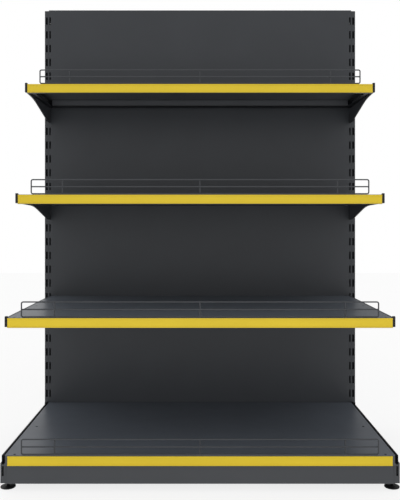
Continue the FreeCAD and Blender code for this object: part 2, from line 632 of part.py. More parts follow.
def tray(name, height, reach, half, rear):
    """Folded pan: the deck is local Z 0, lips hang down on all four sides."""
    body = new_body(name)
    place(body, y=FACE, z=height)
    skin = "Dims.tray_sheet"
    outer = rectangle(f"-{half}", f"-{reach}", half, f"-{rear}")
    inner = rectangle(f"-{half} + {skin}", f"-{reach} + {skin}", f"{half} - {skin}", f"-{rear} - {skin}")
    deck_view = top_view(body, "DeckOutline", "0", [outer])
    extrude(body, "Deck", deck_view, skin, backwards=True)
    lip_view = top_view(body, "LipOutline", "0", [outer, inner])
    extrude(body, "Lips", lip_view, "Dims.front_lip", backwards=True)
    relief = rectangle(f"-{reach} + {skin}", "-Dims.front_lip", f"-{rear}", "-Dims.side_lip")
    relief_view = side_view(body, "LipRelief", "0", [relief])
    cut(body, "ShortLips", relief_view, f"2 * {half}", centred=True)
    fold = rectangle(f"-{reach}", "-Dims.front_lip", f"-{reach} + Dims.front_return",
                     f"-Dims.front_lip + {skin}")
    fold_view = side_view(body, "FoldSection", "0", [fold])
    folded = extrude(body, "FrontFold", fold_view, f"2 * {half}", centred=True)
    round_edges(body, "Bends", folded, rim_at("0"), "Dims.tray_bend")
    pin_radius = "Dims.fence_wire / 2 + Dims.pin_fit"
    pin_y = f"-{reach} + Dims.fence_inset + {POST_SETBACK}"
    holes = [(f"{step} * {POST_X}", pin_y, pin_radius) for step in (-1, 0, 1)]
    for side in (-1, 1):
        for step in (0, 1):
            y = f"-{reach} + Dims.peg_front + {step} * Dims.peg_spacing"
            holes.append((f"{side} * {PEG_X}", y, "Dims.peg_hole / 2"))
    hole_view = top_view(body, "HoleCentres", "0", circles=holes)
    cut(body, "Holes", hole_view, skin)


def hat_section(start):
    """Folded hat below the deck, from the rear flange edge at local Y -start."""
    skin = "Dims.hat_sheet"
    high = "(-Dims.tray_sheet)"
    low = f"({high} - Dims.hat_height)"
    rear = f"(-{start})"
    front = f"({rear} - Dims.hat_width)"
    rear_web = f"({rear} - Dims.hat_flange)"
    front_web = f"({front} + Dims.hat_flange)"
    return [
        (rear, high), (f"{rear_web} - {skin}", high), (f"{rear_web} - {skin}", f"{low} + {skin}"),
        (f"{front_web} + {skin}", f"{low} + {skin}"), (f"{front_web} + {skin}", high), (front, high),
        (front, f"{high} - {skin}"), (front_web, f"{high} - {skin}"), (front_web, low),
        (rear_web, low), (rear_web, f"{high} - {skin}"), (rear, f"{high} - {skin}"),
    ]


def stiffener(name, height, half, starts):
    body = new_body(name)
    body.AllowCompound = True
    place(body, y=FACE, z=height)
    sections = side_view(body, "HatSections", "0", [hat_section(start) for start in starts])
    margin = "(Dims.ledge_width + Dims.hat_margin)"
    extrude(body, "Hats", sections, f"2 * ({half} - {margin})", centred=True)


def ticket_strip(name, height, reach):
    body = new_body(name)
    place(body, y=f"{FACE} - {reach}", z=f"{height} - Dims.strip_drop")
    wall = "Dims.strip_wall"
    depth = "Dims.strip_depth"
    low = "-Dims.strip_height"
    channel = [
        ("0", "0"), ("0", low), (f"-{depth}", low), (f"-{depth}", f"{low} + Dims.strip_lip"),
        (f"-{depth} + {wall}", f"{low} + Dims.strip_lip"), (f"-{depth} + {wall}", f"{low} + {wall}"),
        (f"-{wall}", f"{low} + {wall}"), (f"-{wall}", f"-{wall}"), (f"-{depth} + {wall}", f"-{wall}"),
        (f"-{depth} + {wall}", "-Dims.strip_lip"), (f"-{depth}", "-Dims.strip_lip"), (f"-{depth}", "0"),
    ]
    section = side_view(body, "Section", "0", [channel])
    profile = extrude(body, "Channel", section, f"2 * {STRIP_HALF}", centred=True)
    round_edges(body, "Edges", profile, across_at(f"-{depth}", "0", low), "Dims.strip_bend")


def ticket_card(name, height, reach):
    """Plain insert that stands in the strip, behind its two lips."""
    body = new_body(name)
    place(body, y=f"{FACE} - {reach}", z=f"{height} - Dims.strip_drop")
    inset = "(Dims.strip_wall + Dims.card_fit)"
    half = f"({STRIP_HALF} - Dims.card_fit)"
    face = rectangle(f"-{half}", f"-Dims.strip_height + {inset}", half, f"-{inset}")
    face_view = front_view(body, "FaceOutline", f"-{inset}", [face])
    extrude(body, "Card", face_view, "Dims.card_sheet")


def bracket(name, side, row, reach):
    body = new_body(name)
    place(body, x=f"{side} * {SLOT_X}", y=FACE, z=shelf_height(row))
    rear = f"(-{SHELF_REAR})"
    nose = f"(-{reach} - Dims.nose_over)"
    slope_end = f"(-{reach} + Dims.nose_length)"
    profile = [
        (rear, "0"), (f"{slope_end} + Dims.nose_slope", "0"), (slope_end, "Dims.nose_rise"),
        (nose, "Dims.nose_rise"), (nose, "-Dims.nose_drop"), ("-Dims.knee_reach", "-Dims.knee_drop"),
        ("-Dims.heel_reach", "-Dims.heel_drop"), (rear, "-Dims.root_drop"),
    ]
    outline = side_view(body, "Profile", "0", [profile])
    plate = extrude(body, "Plate", outline, "Dims.bracket_plate", centred=True)
    knee = across_at("-Dims.knee_reach", "-Dims.knee_drop")
    eased = round_edges(body, "Knee", plate, knee, "Dims.knee_radius")
    heel = across_at("-Dims.heel_reach", "-Dims.heel_drop")
    eased = round_edges(body, "Heel", eased, heel, "Dims.heel_radius")
    eased = round_edges(body, "Nose", eased, across_at(nose, "-Dims.nose_drop"), "Dims.nose_radius")
    round_edges(body, "NoseTip", eased, across_at(nose, "Dims.nose_rise"), "Dims.nose_tip")
    hooks = []
    for step in (0, 1):
        rest = f"(Dims.seat - Dims.tray_rise - Dims.slot_height / 2 - {step} * Dims.slot_pitch)"
        hooks.append(hook(f"{rear} - Dims.hook_depth", WALL_BACK, rest, "Dims.hook_neck",
                          "Dims.hook_drop", "Dims.hook_depth"))
    hook_views = side_view(body, "HookViews", "0", hooks)
    extrude(body, "Hooks", hook_views, "Dims.bracket_plate", centred=True)
    inner = f"{-side} * (Dims.bracket_plate / 2 + Dims.ledge_width)"
    ledge = rectangle(inner, f"-{reach} + Dims.ledge_front", "0", "-Dims.ledge_rear")
    ledge_view = top_view(body, "LedgeOutline", LEDGE_TOP, [ledge])
    extrude(body, "Ledge", ledge_view, "Dims.ledge_sheet", backwards=True)


def fence_path(body, y):
    """Centre line of the bent wire: a closed loop of four straight runs and four rounded corners."""
    left = f"(-{FENCE_HALF} + Dims.fence_bend)"
    right = f"({FENCE_HALF} - Dims.fence_bend)"
    low = f"({FENCE_LOW} + Dims.fence_bend)"
    high = "(Dims.fence_height - Dims.fence_bend)"
    path = front_view(body, "BentWirePath", y)
    runs = [
        ((f"-{FENCE_HALF}", low), (f"-{FENCE_HALF}", high)),
        ((left, "Dims.fence_height"), (right, "Dims.fence_height")),
        ((FENCE_HALF, high), (FENCE_HALF, low)),
        ((right, FENCE_LOW), (left, FENCE_LOW)),
    ]
    for ends in runs:
        start, end = [FreeCAD.Vector(value(u), value(v), 0) for u, v in ends]
        line = path.addGeometry(Part.LineSegment(start, end), False)
        for point, (u, v) in enumerate(ends, start=1):
            bind(path, "DistanceX", line, point, u)
            bind(path, "DistanceY", line, point, v)
    quarter = FreeCAD.Units.Quantity("90 deg").getValueAs("rad").Value
    centres = [(left, high), (right, high), (right, low), (left, low)]
    for corner, (u, v) in enumerate(centres):
        centre = FreeCAD.Vector(value(u), value(v), 0)
        circle = Part.Circle(centre, FreeCAD.Vector(0, 0, 1), value("Dims.fence_bend"))
        first = (1 - corner) * quarter
        arc = path.addGeometry(Part.ArcOfCircle(circle, first, first + quarter), False)
        following = (corner + 1) % len(runs)
        path.addConstraint(Sketcher.Constraint("Tangent", corner, 2, arc, 2))
        path.addConstraint(Sketcher.Constraint("Coincident", following, 1, arc, 1))
    return path


def fence(name, height, reach):
    """Bent loop with a middle rail across it and posts behind it that end in pins."""
    body = new_body(name)
    place(body, y=f"{FACE} - {reach} + Dims.fence_inset", z=height)
    radius = "Dims.fence_wire / 2"
    path = fence_path(body, "0")
    start = (f"-{FENCE_HALF}", "0", radius)
    ring = top_view(body, "WireSection", f"{FENCE_LOW} + Dims.fence_bend", circles=[start])
    bent = body.newObject("PartDesign::AdditivePipe", "BentWire")
    bent.Profile = ring
    bent.Spine = (path, [])
    middle = f"(({FENCE_LOW} + Dims.fence_height) / 2)"
    rail = side_view(body, "RailSection", "0", circles=[("0", middle, radius)])
    extrude(body, "Rail", rail, f"2 * {FENCE_HALF}", centred=True)
    posts = [(f"{step} * {POST_X}", POST_SETBACK, radius) for step in (-1, 0, 1)]
    post_view = top_view(body, "PostSections", "-Dims.fence_pin", circles=posts)
    extrude(body, "Posts", post_view, "Dims.fence_height + Dims.fence_pin")


def foot_pad(name, x, y):
    body = new_body(name)
    place(body, x=x, y=y)
    rim = "Dims.pad_diameter / 2"
    socket = "Dims.stem_diameter / 2 + Dims.thread_fit"
    half_section = [
        ("0", "0"), (f"{rim} - Dims.pad_bevel", "0"), (rim, "Dims.pad_bevel"), (rim, "Dims.pad_rim"),
        ("Dims.pad_hub / 2", "Dims.pad_height"), (socket, "Dims.pad_height"), (socket, "Dims.pad_floor"),
        ("0", "Dims.pad_floor"),
    ]
    section = front_view(body, "HalfSection", "0", [half_section])
    turned = body.newObject("PartDesign::Revolution", "Turned")
    turned.Profile = section
    turned.ReferenceAxis = (section, ["V_Axis"])
    turned.Angle = 360


def add_solid(kind, name, **expressions):
    solid = doc.addObject(kind, name)
    for prop, expression in expressions.items():
        solid.setExpression(prop, expression)
    return solid


def boolean(kind, name, base, tool):
    result = doc.addObject(kind, name)
    result.Base = base
    result.Tool = tool
    return result


def hexagon(name, width, height):
    prism = add_solid("Part::Prism", name, Circumradius=f"{width} / sqrt(3)", Height=height)
    prism.Polygon = 6
    return prism


def foot_stem(name, x, y, seat_height):
    shank = add_solid("Part::Cylinder", f"{name}_shank", Radius="Dims.stem_diameter / 2",
                      Height="Dims.stem_length")
    place(shank, x, y, "Dims.pad_floor")
    nut = hexagon(f"{name}_jam_nut", "Dims.nut_width", "Dims.jam_height")
    place(nut, x, y, f"{seat_height} - Dims.jam_height")
    stem = boolean("Part::Fuse", name, shank, nut)
    stem.Label = name
    parts.append(stem)


def foot_thread_bore(name, x, y, z, height):
    radius = "Dims.stem_diameter / 2 + Dims.thread_fit"
    bore = add_solid("Part::Cylinder", name, Radius=radius, Height=height)
    place(bore, x, y, z)
    return bore


def group(name, solids):
    compound = doc.addObject("Part::Compound", name)
    compound.Links = solids
    compound.Label = name
    parts.append(compound)


def foot_weld_nuts(name):
    nuts = []
    level = "Dims.floor_gap + Dims.holder_sheet"
    for side, word in ((-1, "left"), (1, "right")):
        x = f"{side} * {COLUMN}"
        block = hexagon(f"weld_nut_{word}_block", "Dims.nut_width", "Dims.nut_height")
        place(block, x, FRONT_FOOT_Y, level)
        bore = foot_thread_bore(f"weld_nut_{word}_bore", x, FRONT_FOOT_Y, level, "Dims.nut_height")
        nuts.append(boolean("Part::Cut", f"weld_nut_{word}", block, bore))
    group(name, nuts)


def foot_inserts(name):
    inserts = []
    inset = "(Dims.upright_wall + Dims.thread_fit)"
    width = f"(Dims.upright_width - 2 * {inset})"
    depth = f"(Dims.upright_depth - 2 * {inset})"
    for side, word in ((-1, "left"), (1, "right")):
        x = f"{side} * {COLUMN}"
        block = add_solid("Part::Box", f"insert_{word}_block", Length=width, Width=depth,
                          Height="Dims.insert_height")
        place(block, f"{x} - {width} / 2", f"{FACE} + {inset}", "Dims.upright_base")
        bore = foot_thread_bore(f"insert_{word}_bore", x, REAR_FOOT_Y, "Dims.upright_base",
                                "Dims.insert_height")
        inserts.append(boolean("Part::Cut", f"insert_{word}", block, bore))
    group(name, inserts)


def tie_fasteners(bolts_name, nuts_name):
    """Bolts through the tie bars' end plates and the rivet nuts that they turn into."""
    bolts = []
    nuts = []
    inner_face = "((Dims.bay_length - Dims.upright_width) / 2)"
    y = f"{FACE} + Dims.tie_setback"
    along_x = FreeCAD.Vector(0, 1, 0)
    bars = ((f"{UPRIGHT_TOP} - Dims.tie_top_drop", "top"), ("Dims.tie_base_rise", "base"))
    for bar, level in bars:
        for side, word in ((-1, "left"), (1, "right")):
            for end, place_word in ((-1, "lower"), (1, "upper")):
                tag = f"{level}_{word}_{place_word}"
                z = f"{bar} + {end} * Dims.bolt_spacing / 2"
                under_head = f"{side} * ({inner_face} - Dims.tie_plate)"
                head = hexagon(f"bolt_{tag}_head", "Dims.bolt_head", "Dims.bolt_head_height")
                shank = add_solid("Part::Cylinder", f"bolt_{tag}_shank",
                                  Radius="Dims.bolt_diameter / 2", Height="Dims.bolt_length")
                outside = add_solid("Part::Cylinder", f"rivet_{tag}_outside",
                                    Radius="Dims.rivet_diameter / 2", Height="Dims.rivet_length")
                bore = add_solid("Part::Cylinder", f"rivet_{tag}_bore",
                                 Radius="Dims.bolt_diameter / 2 + Dims.thread_fit",
                                 Height="Dims.rivet_length")
                for item, turn in ((head, -90 * side), (shank, 90 * side)):
                    item.Placement.Rotation = FreeCAD.Rotation(along_x, turn)
                    place(item, under_head, y, z)
                for item in (outside, bore):
                    item.Placement.Rotation = FreeCAD.Rotation(along_x, 90 * side)
                    place(item, f"{side} * {inner_face}", y, z)
                bolts.append(boolean("Part::Fuse", f"bolt_{tag}", head, shank))
                nuts.append(boolean("Part::Cut", f"rivet_{tag}", outside, bore))
    group(bolts_name, bolts)
    group(nuts_name, nuts)


def build():
    sides = ((-1, "left"), (1, "right"))
    for side, word in sides:
        upright(f"upright_{word}", side)
        upright_cap(f"upright_cap_{word}", side)
    back_panels()
    tie_bar("tie_bar_top", f"{UPRIGHT_TOP} - Dims.tie_top_drop")
    tie_bar("tie_bar_base", "Dims.tie_base_rise")
    tie_fasteners("tie_bolts", "tie_rivet_nuts")

    for side, word in sides:
        base_leg(f"base_leg_{word}", side)
        kick_holder(f"kick_holder_{word}", side)
    kick_plate("kick_plate")
    tray("base_tray", "Dims.base_height", DECK_REACH, DECK_HALF, DECK_REAR)
    stiffener("base_stiffener", "Dims.base_height", DECK_HALF, ("Dims.hat_rear", "Dims.hat_front"))
    ticket_strip("base_ticket_strip", "Dims.base_height", DECK_REACH)
    ticket_card("base_ticket_card", "Dims.base_height", DECK_REACH)
    fence("base_fence", "Dims.base_height", DECK_REACH)

    shelves = (
        ("lower", LOWER_ROW, "Dims.reach_deep", ("Dims.hat_rear", "Dims.hat_front")),
        ("middle", MIDDLE_ROW, "Dims.reach_middle", ("Dims.hat_rear", "Dims.hat_front")),
        ("top", TOP_ROW, "Dims.reach_short", ("Dims.hat_rear",)),
    )
    for word, row, reach, hats in shelves:
        height = shelf_height(row)
        tray(f"{word}_tray", height, reach, SHELF_HALF, SHELF_REAR)
        stiffener(f"{word}_stiffener", height, SHELF_HALF, hats)
        ticket_strip(f"{word}_ticket_strip", height, reach)
        ticket_card(f"{word}_ticket_card", height, reach)
        fence(f"{word}_fence", height, reach)
        for side, side_word in sides:
            bracket(f"{word}_bracket_{side_word}", side, row, reach)

    feet = (
        ("front", FRONT_FOOT_Y, "Dims.floor_gap"),
        ("rear", REAR_FOOT_Y, "Dims.upright_base"),
    )
    for end, y, seat_height in feet:
        for side, word in sides:
            foot_pad(f"foot_pad_{end}_{word}", f"{side} * {COLUMN}", y)
            foot_stem(f"foot_stem_{end}_{word}", f"{side} * {COLUMN}", y, seat_height)
    foot_weld_nuts("foot_weld_nuts")
    foot_inserts("foot_inserts")


def check():
    for item in doc.Objects:
        if "Invalid" in item.State or "Error" in item.State:
            raise RuntimeError(f"{item.Label} failed: {item.State}")
    for pocket in cuts:
        if pocket.Shape.Volume >= pocket.BaseFeature.Shape.Volume - 1e-6:
            raise RuntimeError(f"{pocket.Label} of {pocket.getParentGeoFeatureGroup().Label} cuts nothing")
    for part in parts:
        if part.Shape.isNull() or not part.Shape.isValid():
            raise RuntimeError(f"{part.Label} has no valid shape")


build()
doc.recompute()
check()
os.makedirs("parts", exist_ok=True)
for part in parts:
    part.Shape.exportStep(f"parts/{part.Label}.step")
    print(part.Label, len(part.Shape.Solids), round(part.Shape.Volume, 1))
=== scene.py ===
import json
import math

import bmesh
import bpy
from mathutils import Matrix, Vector


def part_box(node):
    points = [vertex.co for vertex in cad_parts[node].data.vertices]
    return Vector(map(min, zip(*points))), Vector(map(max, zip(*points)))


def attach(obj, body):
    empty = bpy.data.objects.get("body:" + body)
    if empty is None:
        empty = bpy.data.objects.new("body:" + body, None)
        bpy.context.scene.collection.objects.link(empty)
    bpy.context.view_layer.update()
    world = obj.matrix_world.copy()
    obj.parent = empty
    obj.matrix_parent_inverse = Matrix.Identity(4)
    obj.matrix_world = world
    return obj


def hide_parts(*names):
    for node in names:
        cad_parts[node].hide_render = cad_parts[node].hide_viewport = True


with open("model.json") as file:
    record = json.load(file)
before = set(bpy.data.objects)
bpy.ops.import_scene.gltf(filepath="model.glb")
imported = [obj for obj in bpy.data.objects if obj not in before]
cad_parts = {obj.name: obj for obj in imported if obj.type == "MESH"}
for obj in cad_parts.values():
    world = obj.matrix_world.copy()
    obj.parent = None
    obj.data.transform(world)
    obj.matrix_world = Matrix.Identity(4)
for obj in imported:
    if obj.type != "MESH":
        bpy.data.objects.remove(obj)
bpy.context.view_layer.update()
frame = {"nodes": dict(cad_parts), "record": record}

bl_info = {
    "name": "Shop Shelving Bay",
    "version": (1, 0, 0),
    "blender": (4, 5, 0),
    "location": "3D View > Sidebar > Shelving",
    "description": "Paint, small hardware, light and camera for one bay of shop shelving",
    "category": "Object",
}

NODES = frame["nodes"]
BODIES = frame["record"]["behaviour"]["bodies"]
BODY_OF = {node: body for body, nodes in BODIES.items() for node in nodes}
SLOT_OF = {part["node"]: part["material_slot"] for part in frame["record"]["subparts"]}

# Sides of the bay, with their signs along X
SIDES = {"left": -1, "right": 1}
SHELVES = ("lower", "middle", "top")
LEVELS = ("base",) + SHELVES
PANELS = ("base", "lower", "upper", "top")

# Vertices closer than this are one vertex; faces flatter than this are one face
WELD_DISTANCE = 1e-6
FLAT_ANGLE = math.radians(0.3)

# Edges sharper than this are eased
SHARP_ANGLE = math.radians(32)

# A point this near to a face or an edge lies on it
TOUCH_DISTANCE = 1e-5

# Digits of a place in metres that tell tenths of a millimetre
PLACE_DIGITS = 4

# Least part of a normal along an axis, for a face that looks that way
FACING = 0.5

# Faces across an eased edge and across a rounded corner, and the profile that is round
EASE_STEPS = 2
CORNER_STEPS = 4
ROUND_PROFILE = 0.5

# Weight at which the largest face beside a vertex sets its normal
LARGEST_FACE = 100

# Sheet thickness of a stiffener
HAT_SHEET = 0.0012

# Easing of the edges of a fold or a small moulding
FOLD_EDGE = 0.0002

# Ends of a ticket strip's section, as signs along Z
TOP_END = 1
BOTTOM_END = -1

# Fineness of a weld bead and of a thread
BEAD_SUBDIVISIONS = 2
TURN_STEPS = 20
RIDGE_SIDES = 4

# Length, depth and height of a weld, in parts of its radius
SPOT_SHAPE = (1, 1, 0.12)
NUGGET_SHAPE = (1, 0.9, 1)

# Most of a noise lies between these values
NOISE_LOW = 0.3
NOISE_HIGH = 0.7

# Roughness of a powder coat to each side of its mean
ROUGHNESS_SPREAD = 0.012

# Powder coats: their colour and roughness among the settings, and their gloss level
COATS = {
    "anthracite": ("sheet_colour", "sheet_roughness", 0.5),
    "panel_coat": ("sheet_colour", "sheet_roughness", 0.3),
    "under_coat": ("under_colour", "sheet_roughness", 0.5),
    # This near-black copy of the coat is painted shade, put on faces where shade falls
    "hidden_coat": ("hidden_colour", "sheet_roughness", 0.05),
    # This lighter copy of the coat on the tray tops is painted light
    "tray_coat": ("tray_colour", "tray_roughness", 0.2),
    "dark_paint": ("bracket_colour", "sheet_roughness", 0.08),
    "black_paint": ("leg_colour", "sheet_roughness", 0.02),
    "grey_wire": ("wire_colour", "sheet_roughness", 0.08),
}

# Length of the floor's sides, and its depth under the pads, so that they don't share a plane
FLOOR_SIZE = 14
FLOOR_DROP = 0.0003

# Long side of the picture in the camera, in millimetres
SENSOR_SIZE = 36


class FinishSettings(bpy.types.PropertyGroup):
    """Colours and surface of the paint, plastic and plating."""

    sheet_colour: bpy.props.FloatVectorProperty(
        name="Sheet colour", description="Powder coat on uprights, panels and kick plate",
        subtype="COLOR", size=3, min=0, max=1, default=(0.034, 0.037, 0.042))
    under_colour: bpy.props.FloatVectorProperty(
        name="Underside colour", description="Powder coat on the lips, undersides and stiffeners of trays",
        subtype="COLOR", size=3, min=0, max=1, default=(0.050, 0.053, 0.059))
    # Near-black copy of the coat: painted shade for the faces where shade falls
    hidden_colour: bpy.props.FloatVectorProperty(
        name="Painted shade colour", description="Painted shade in rear lips and below stiffeners and ledges",
        subtype="COLOR", size=3, min=0, max=1, default=(0.014, 0.015, 0.017))
    # Lighter copy of the tray coat for their tops: painted light
    tray_colour: bpy.props.FloatVectorProperty(
        name="Tray colour", description="Powder coat on top of the trays, painted lighter as painted light",
        subtype="COLOR", size=3, min=0, max=1, default=(0.093, 0.105, 0.125))
    bracket_colour: bpy.props.FloatVectorProperty(
        name="Bracket colour", description="Powder coat on the shelf brackets",
        subtype="COLOR", size=3, min=0, max=1, default=(0.058, 0.061, 0.068))
    leg_colour: bpy.props.FloatVectorProperty(
        name="Leg colour", description="Powder coat on the base legs",
        subtype="COLOR", size=3, min=0, max=1, default=(0.006, 0.006, 0.007))
    strip_colour: bpy.props.FloatVectorProperty(
        name="Ticket strip colour", description="Extruded plastic of the ticket strips and their cards",
        subtype="COLOR", size=3, min=0, max=1, default=(0.612, 0.448, 0.020))
    wire_colour: bpy.props.FloatVectorProperty(
        name="Wire colour", description="Satin coat on the wire fences",
        subtype="COLOR", size=3, min=0, max=1, default=(0.056, 0.059, 0.064))
    zinc_colour: bpy.props.FloatVectorProperty(
        name="Zinc colour", description="Plating on bolts and nuts",
        subtype="COLOR", size=3, min=0, max=1, default=(0.62, 0.62, 0.60))
    black_zinc_colour: bpy.props.FloatVectorProperty(
        name="Black zinc colour", description="Plating on the stems of the feet and their jam nuts",
        subtype="COLOR", size=3, min=0, max=1, default=(0.025, 0.025, 0.027))
    plastic_colour: bpy.props.FloatVectorProperty(
        name="Moulding colour", description="Moulded caps, pads and inserts",
        subtype="COLOR", size=3, min=0, max=1, default=(0.010, 0.010, 0.011))
    sheet_roughness: bpy.props.FloatProperty(
        name="Sheet roughness", description="Mean roughness of the powder coat",
        subtype="FACTOR", min=0, max=1, default=0.36)
    tray_roughness: bpy.props.FloatProperty(
        name="Tray roughness", description="Mean roughness of the top of the trays",
        subtype="FACTOR", min=0, max=1, default=0.38)
    peel_size: bpy.props.FloatProperty(
        name="Orange peel", description="Width of one ripple of the powder coat",
        unit="LENGTH", min=0.0002, max=0.01, default=0.0016)
    peel_depth: bpy.props.FloatProperty(
        name="Orange peel depth", description="Height of one ripple of the powder coat",
        unit="LENGTH", min=0, max=0.001, default=0.000002)
    sheet_edge: bpy.props.FloatProperty(
        name="Sheet edge", description="Easing of a cut sheet edge under its paint",
        unit="LENGTH", min=0, max=0.001, default=0.0003)
    strip_edge: bpy.props.FloatProperty(
        name="Strip edge", description="Rounding of the edges of a ticket strip and its card",
        unit="LENGTH", min=0, max=0.0004, default=0.0002)
    plate_edge: bpy.props.FloatProperty(
        name="Plate edge", description="Easing of a cut plate or tube edge under its paint",
        unit="LENGTH", min=0, max=0.002, default=0.0006)


class HardwareSettings(bpy.types.PropertyGroup):
    """Sizes of threads, welds and other small hardware."""

    thread_pitch: bpy.props.FloatProperty(
        name="Thread pitch", description="Turn to turn of a foot's thread",
        unit="LENGTH", min=0.0005, max=0.004, default=0.0015)
    stem_radius: bpy.props.FloatProperty(
        name="Stem radius", description="Axis to crest of a foot's thread",
        unit="LENGTH", min=0.002, max=0.02, default=0.005)
    wire_radius: bpy.props.FloatProperty(
        name="Wire radius", description="Radius of the fence wire",
        unit="LENGTH", min=0.0005, max=0.006, default=0.00175)
    post_reach: bpy.props.FloatProperty(
        name="Post reach", description="Middle of a fence to its outer posts",
        unit="LENGTH", min=0.05, max=0.6, default=0.372)
    nugget_radius: bpy.props.FloatProperty(
        name="Weld nugget", description="Radius of the bead where two fence wires cross",
        unit="LENGTH", min=0.0005, max=0.004, default=0.0021)
    spot_radius: bpy.props.FloatProperty(
        name="Spot weld", description="Radius of a spot weld on a stiffener's flange",
        unit="LENGTH", min=0.001, max=0.006, default=0.0028)
    spot_pitch: bpy.props.FloatProperty(
        name="Spot weld pitch", description="Spot weld to spot weld",
        unit="LENGTH", min=0.02, max=0.4, default=0.11)
    strip_trim: bpy.props.FloatProperty(
        name="Strip trim", description="Height cut off a ticket strip and its card",
        unit="LENGTH", min=0, max=0.003, default=0.001)
    notch_edge: bpy.props.FloatProperty(
        name="Notch edge", description="Middle of the bay to the inner end of a panel's notches",
        unit="LENGTH", min=0.3, max=0.6, default=0.4909)
    notch_fill: bpy.props.FloatProperty(
        name="Notch fill", description="Length that a panel's notches are made shorter",
        unit="LENGTH", min=0, max=0.0015, default=0.0013)
    tongue_sheet: bpy.props.FloatProperty(
        name="Tongue sheet", description="Thickness of the lip behind a panel seam",
        unit="LENGTH", min=0.0003, max=0.002, default=0.0008)
    tongue_gap: bpy.props.FloatProperty(
        name="Tongue gap", description="Clearance from the lip to the fold of the panel above",
        unit="LENGTH", min=0, max=0.002, default=0.0002)
    tongue_height: bpy.props.FloatProperty(
        name="Tongue height", description="Rise of the lip above its panel",
        unit="LENGTH", min=0.001, max=0.02, default=0.008)
    tongue_margin: bpy.props.FloatProperty(
        name="Tongue margin", description="End of the lip to the upright",
        unit="LENGTH", min=0, max=0.1, default=0.006)
    cap_wall: bpy.props.FloatProperty(
        name="Nose cap wall", description="Wall of the cap outside a bracket's plate",
        unit="LENGTH", min=0.0005, max=0.004, default=0.0016)
    cap_width: bpy.props.FloatProperty(
        name="Nose cap width", description="Width of the cap on a bracket's nose",
        unit="LENGTH", min=0.002, max=0.006, default=0.0054)
    cap_length: bpy.props.FloatProperty(
        name="Nose cap length", description="Length of the cap on a bracket's nose",
        unit="LENGTH", min=0.004, max=0.012, default=0.0105)
    cap_height: bpy.props.FloatProperty(
        name="Nose cap height", description="Height of the cap on a bracket's nose",
        unit="LENGTH", min=0.01, max=0.04, default=0.0268)
    cap_corner: bpy.props.FloatProperty(
        name="Nose cap corner", description="Radius of the corners of a nose cap",
        unit="LENGTH", min=0.0005, max=0.004, default=0.0022)
    flange_sheet: bpy.props.FloatProperty(
        name="Leg flange sheet", description="Thickness of the fold at a leg's front end",
        unit="LENGTH", min=0.0003, max=0.001, default=0.0008)
    flange_height: bpy.props.FloatProperty(
        name="Leg flange height", description="Height of the fold at a leg's front end",
        unit="LENGTH", min=0.005, max=0.022, default=0.0215)
    flange_inner: bpy.props.FloatProperty(
        name="Leg flange reach", description="Middle of the bay to the inner edge of a leg's fold",
        unit="LENGTH", min=0.3, max=0.6, default=0.4972)
    flange_outer: bpy.props.FloatProperty(
        name="Leg flange root", description="Middle of the bay to the root of a leg's fold",
        unit="LENGTH", min=0.3, max=0.6, default=0.505)


class StageSettings(bpy.types.PropertyGroup):
    """Camera, floor and light."""

    camera_distance: bpy.props.FloatProperty(
        name="Camera distance", description="Camera to the front of the uprights",
        unit="LENGTH", min=0.5, max=10, default=2.227)
    eye_height: bpy.props.FloatProperty(
        name="Eye height", description="Floor to the camera",
        unit="LENGTH", min=0.1, max=3, default=0.6933)
    lens: bpy.props.FloatProperty(
        name="Lens", description="Focal length on a 36 mm long side",
        unit="CAMERA", min=10, max=200, default=48.57)
    frame_shift: bpy.props.FloatProperty(
        name="Frame shift", description="Rise of the picture's frame, in parts of its long side",
        min=-0.5, max=0.5, default=-0.0584)
    sky_level: bpy.props.FloatProperty(
        name="Sky level", description="Brightness of the studio around the unit",
        min=0, max=2, default=0.99)
    dim_direction: bpy.props.FloatVectorProperty(
        name="Dim side", description="Direction of the dimmer side of the studio",
        subtype="DIRECTION", size=3, default=(0.8, 0.6, 0))
    dim_start: bpy.props.FloatProperty(
        name="Dim start", description="Cosine to the dim side at which the light begins to fall",
        min=-1, max=1, default=0.42)
    dim_stop: bpy.props.FloatProperty(
        name="Dim stop", description="Cosine to the dim side at which the light has fallen",
        min=-1, max=1, default=0.74)
    dim_level: bpy.props.FloatProperty(
        name="Dim level", description="Brightness of the dim side, in parts of the rest",
        subtype="FACTOR", min=0, max=1, default=0.42)
    floor_colour: bpy.props.FloatVectorProperty(
        name="Floor colour", description="Matt paint of the floor",
        subtype="COLOR", size=3, min=0, max=1, default=(0.94, 0.94, 0.94))
    floor_roughness: bpy.props.FloatProperty(
        name="Floor roughness", description="Roughness of the floor's paint",
        subtype="FACTOR", min=0, max=1, default=0.9)
    floor_glow: bpy.props.FloatProperty(
        name="Floor glow", description="Share of plain white in the floor as the camera sees it",
        subtype="FACTOR", min=0, max=1, default=0.8)
    shade_centre: bpy.props.FloatVectorProperty(
        name="Shade centre", description="Middle of the floor that the unit covers",
        subtype="TRANSLATION", size=3, default=(0, 0.04, 0))
    shade_half: bpy.props.FloatVectorProperty(
        name="Shade size", description="Half the length and depth of the floor that the unit covers",
        subtype="XYZ_LENGTH", size=3, default=(0.49, 0.22, 1))
    shade_softness: bpy.props.FloatProperty(
        name="Shade softness", description="Share of the covered floor over which the glow fades out",
        subtype="FACTOR", min=0.01, max=1, default=0.15)
    fill_power: bpy.props.FloatProperty(
        name="Fill light", description="Power of the soft low light in front",
        unit="POWER", min=0, max=500, default=9)
    fill_length: bpy.props.FloatProperty(
        name="Fill length", description="Length of the soft low light",
        unit="LENGTH", min=0.1, max=10, default=2.4)
    fill_height: bpy.props.FloatProperty(
        name="Fill height", description="Height of the soft low light",
        unit="LENGTH", min=0.1, max=10, default=0.5)
    fill_place: bpy.props.FloatVectorProperty(
        name="Fill place", description="Middle of the soft low light",
        subtype="TRANSLATION", size=3, default=(0, -2.1, 0.3))
    fill_aim: bpy.props.FloatVectorProperty(
        name="Fill aim", description="Point that the soft low light looks at",
        subtype="TRANSLATION", size=3, default=(0, 0, 0.1))


def finish_settings():
    return bpy.context.scene.shelving_finish


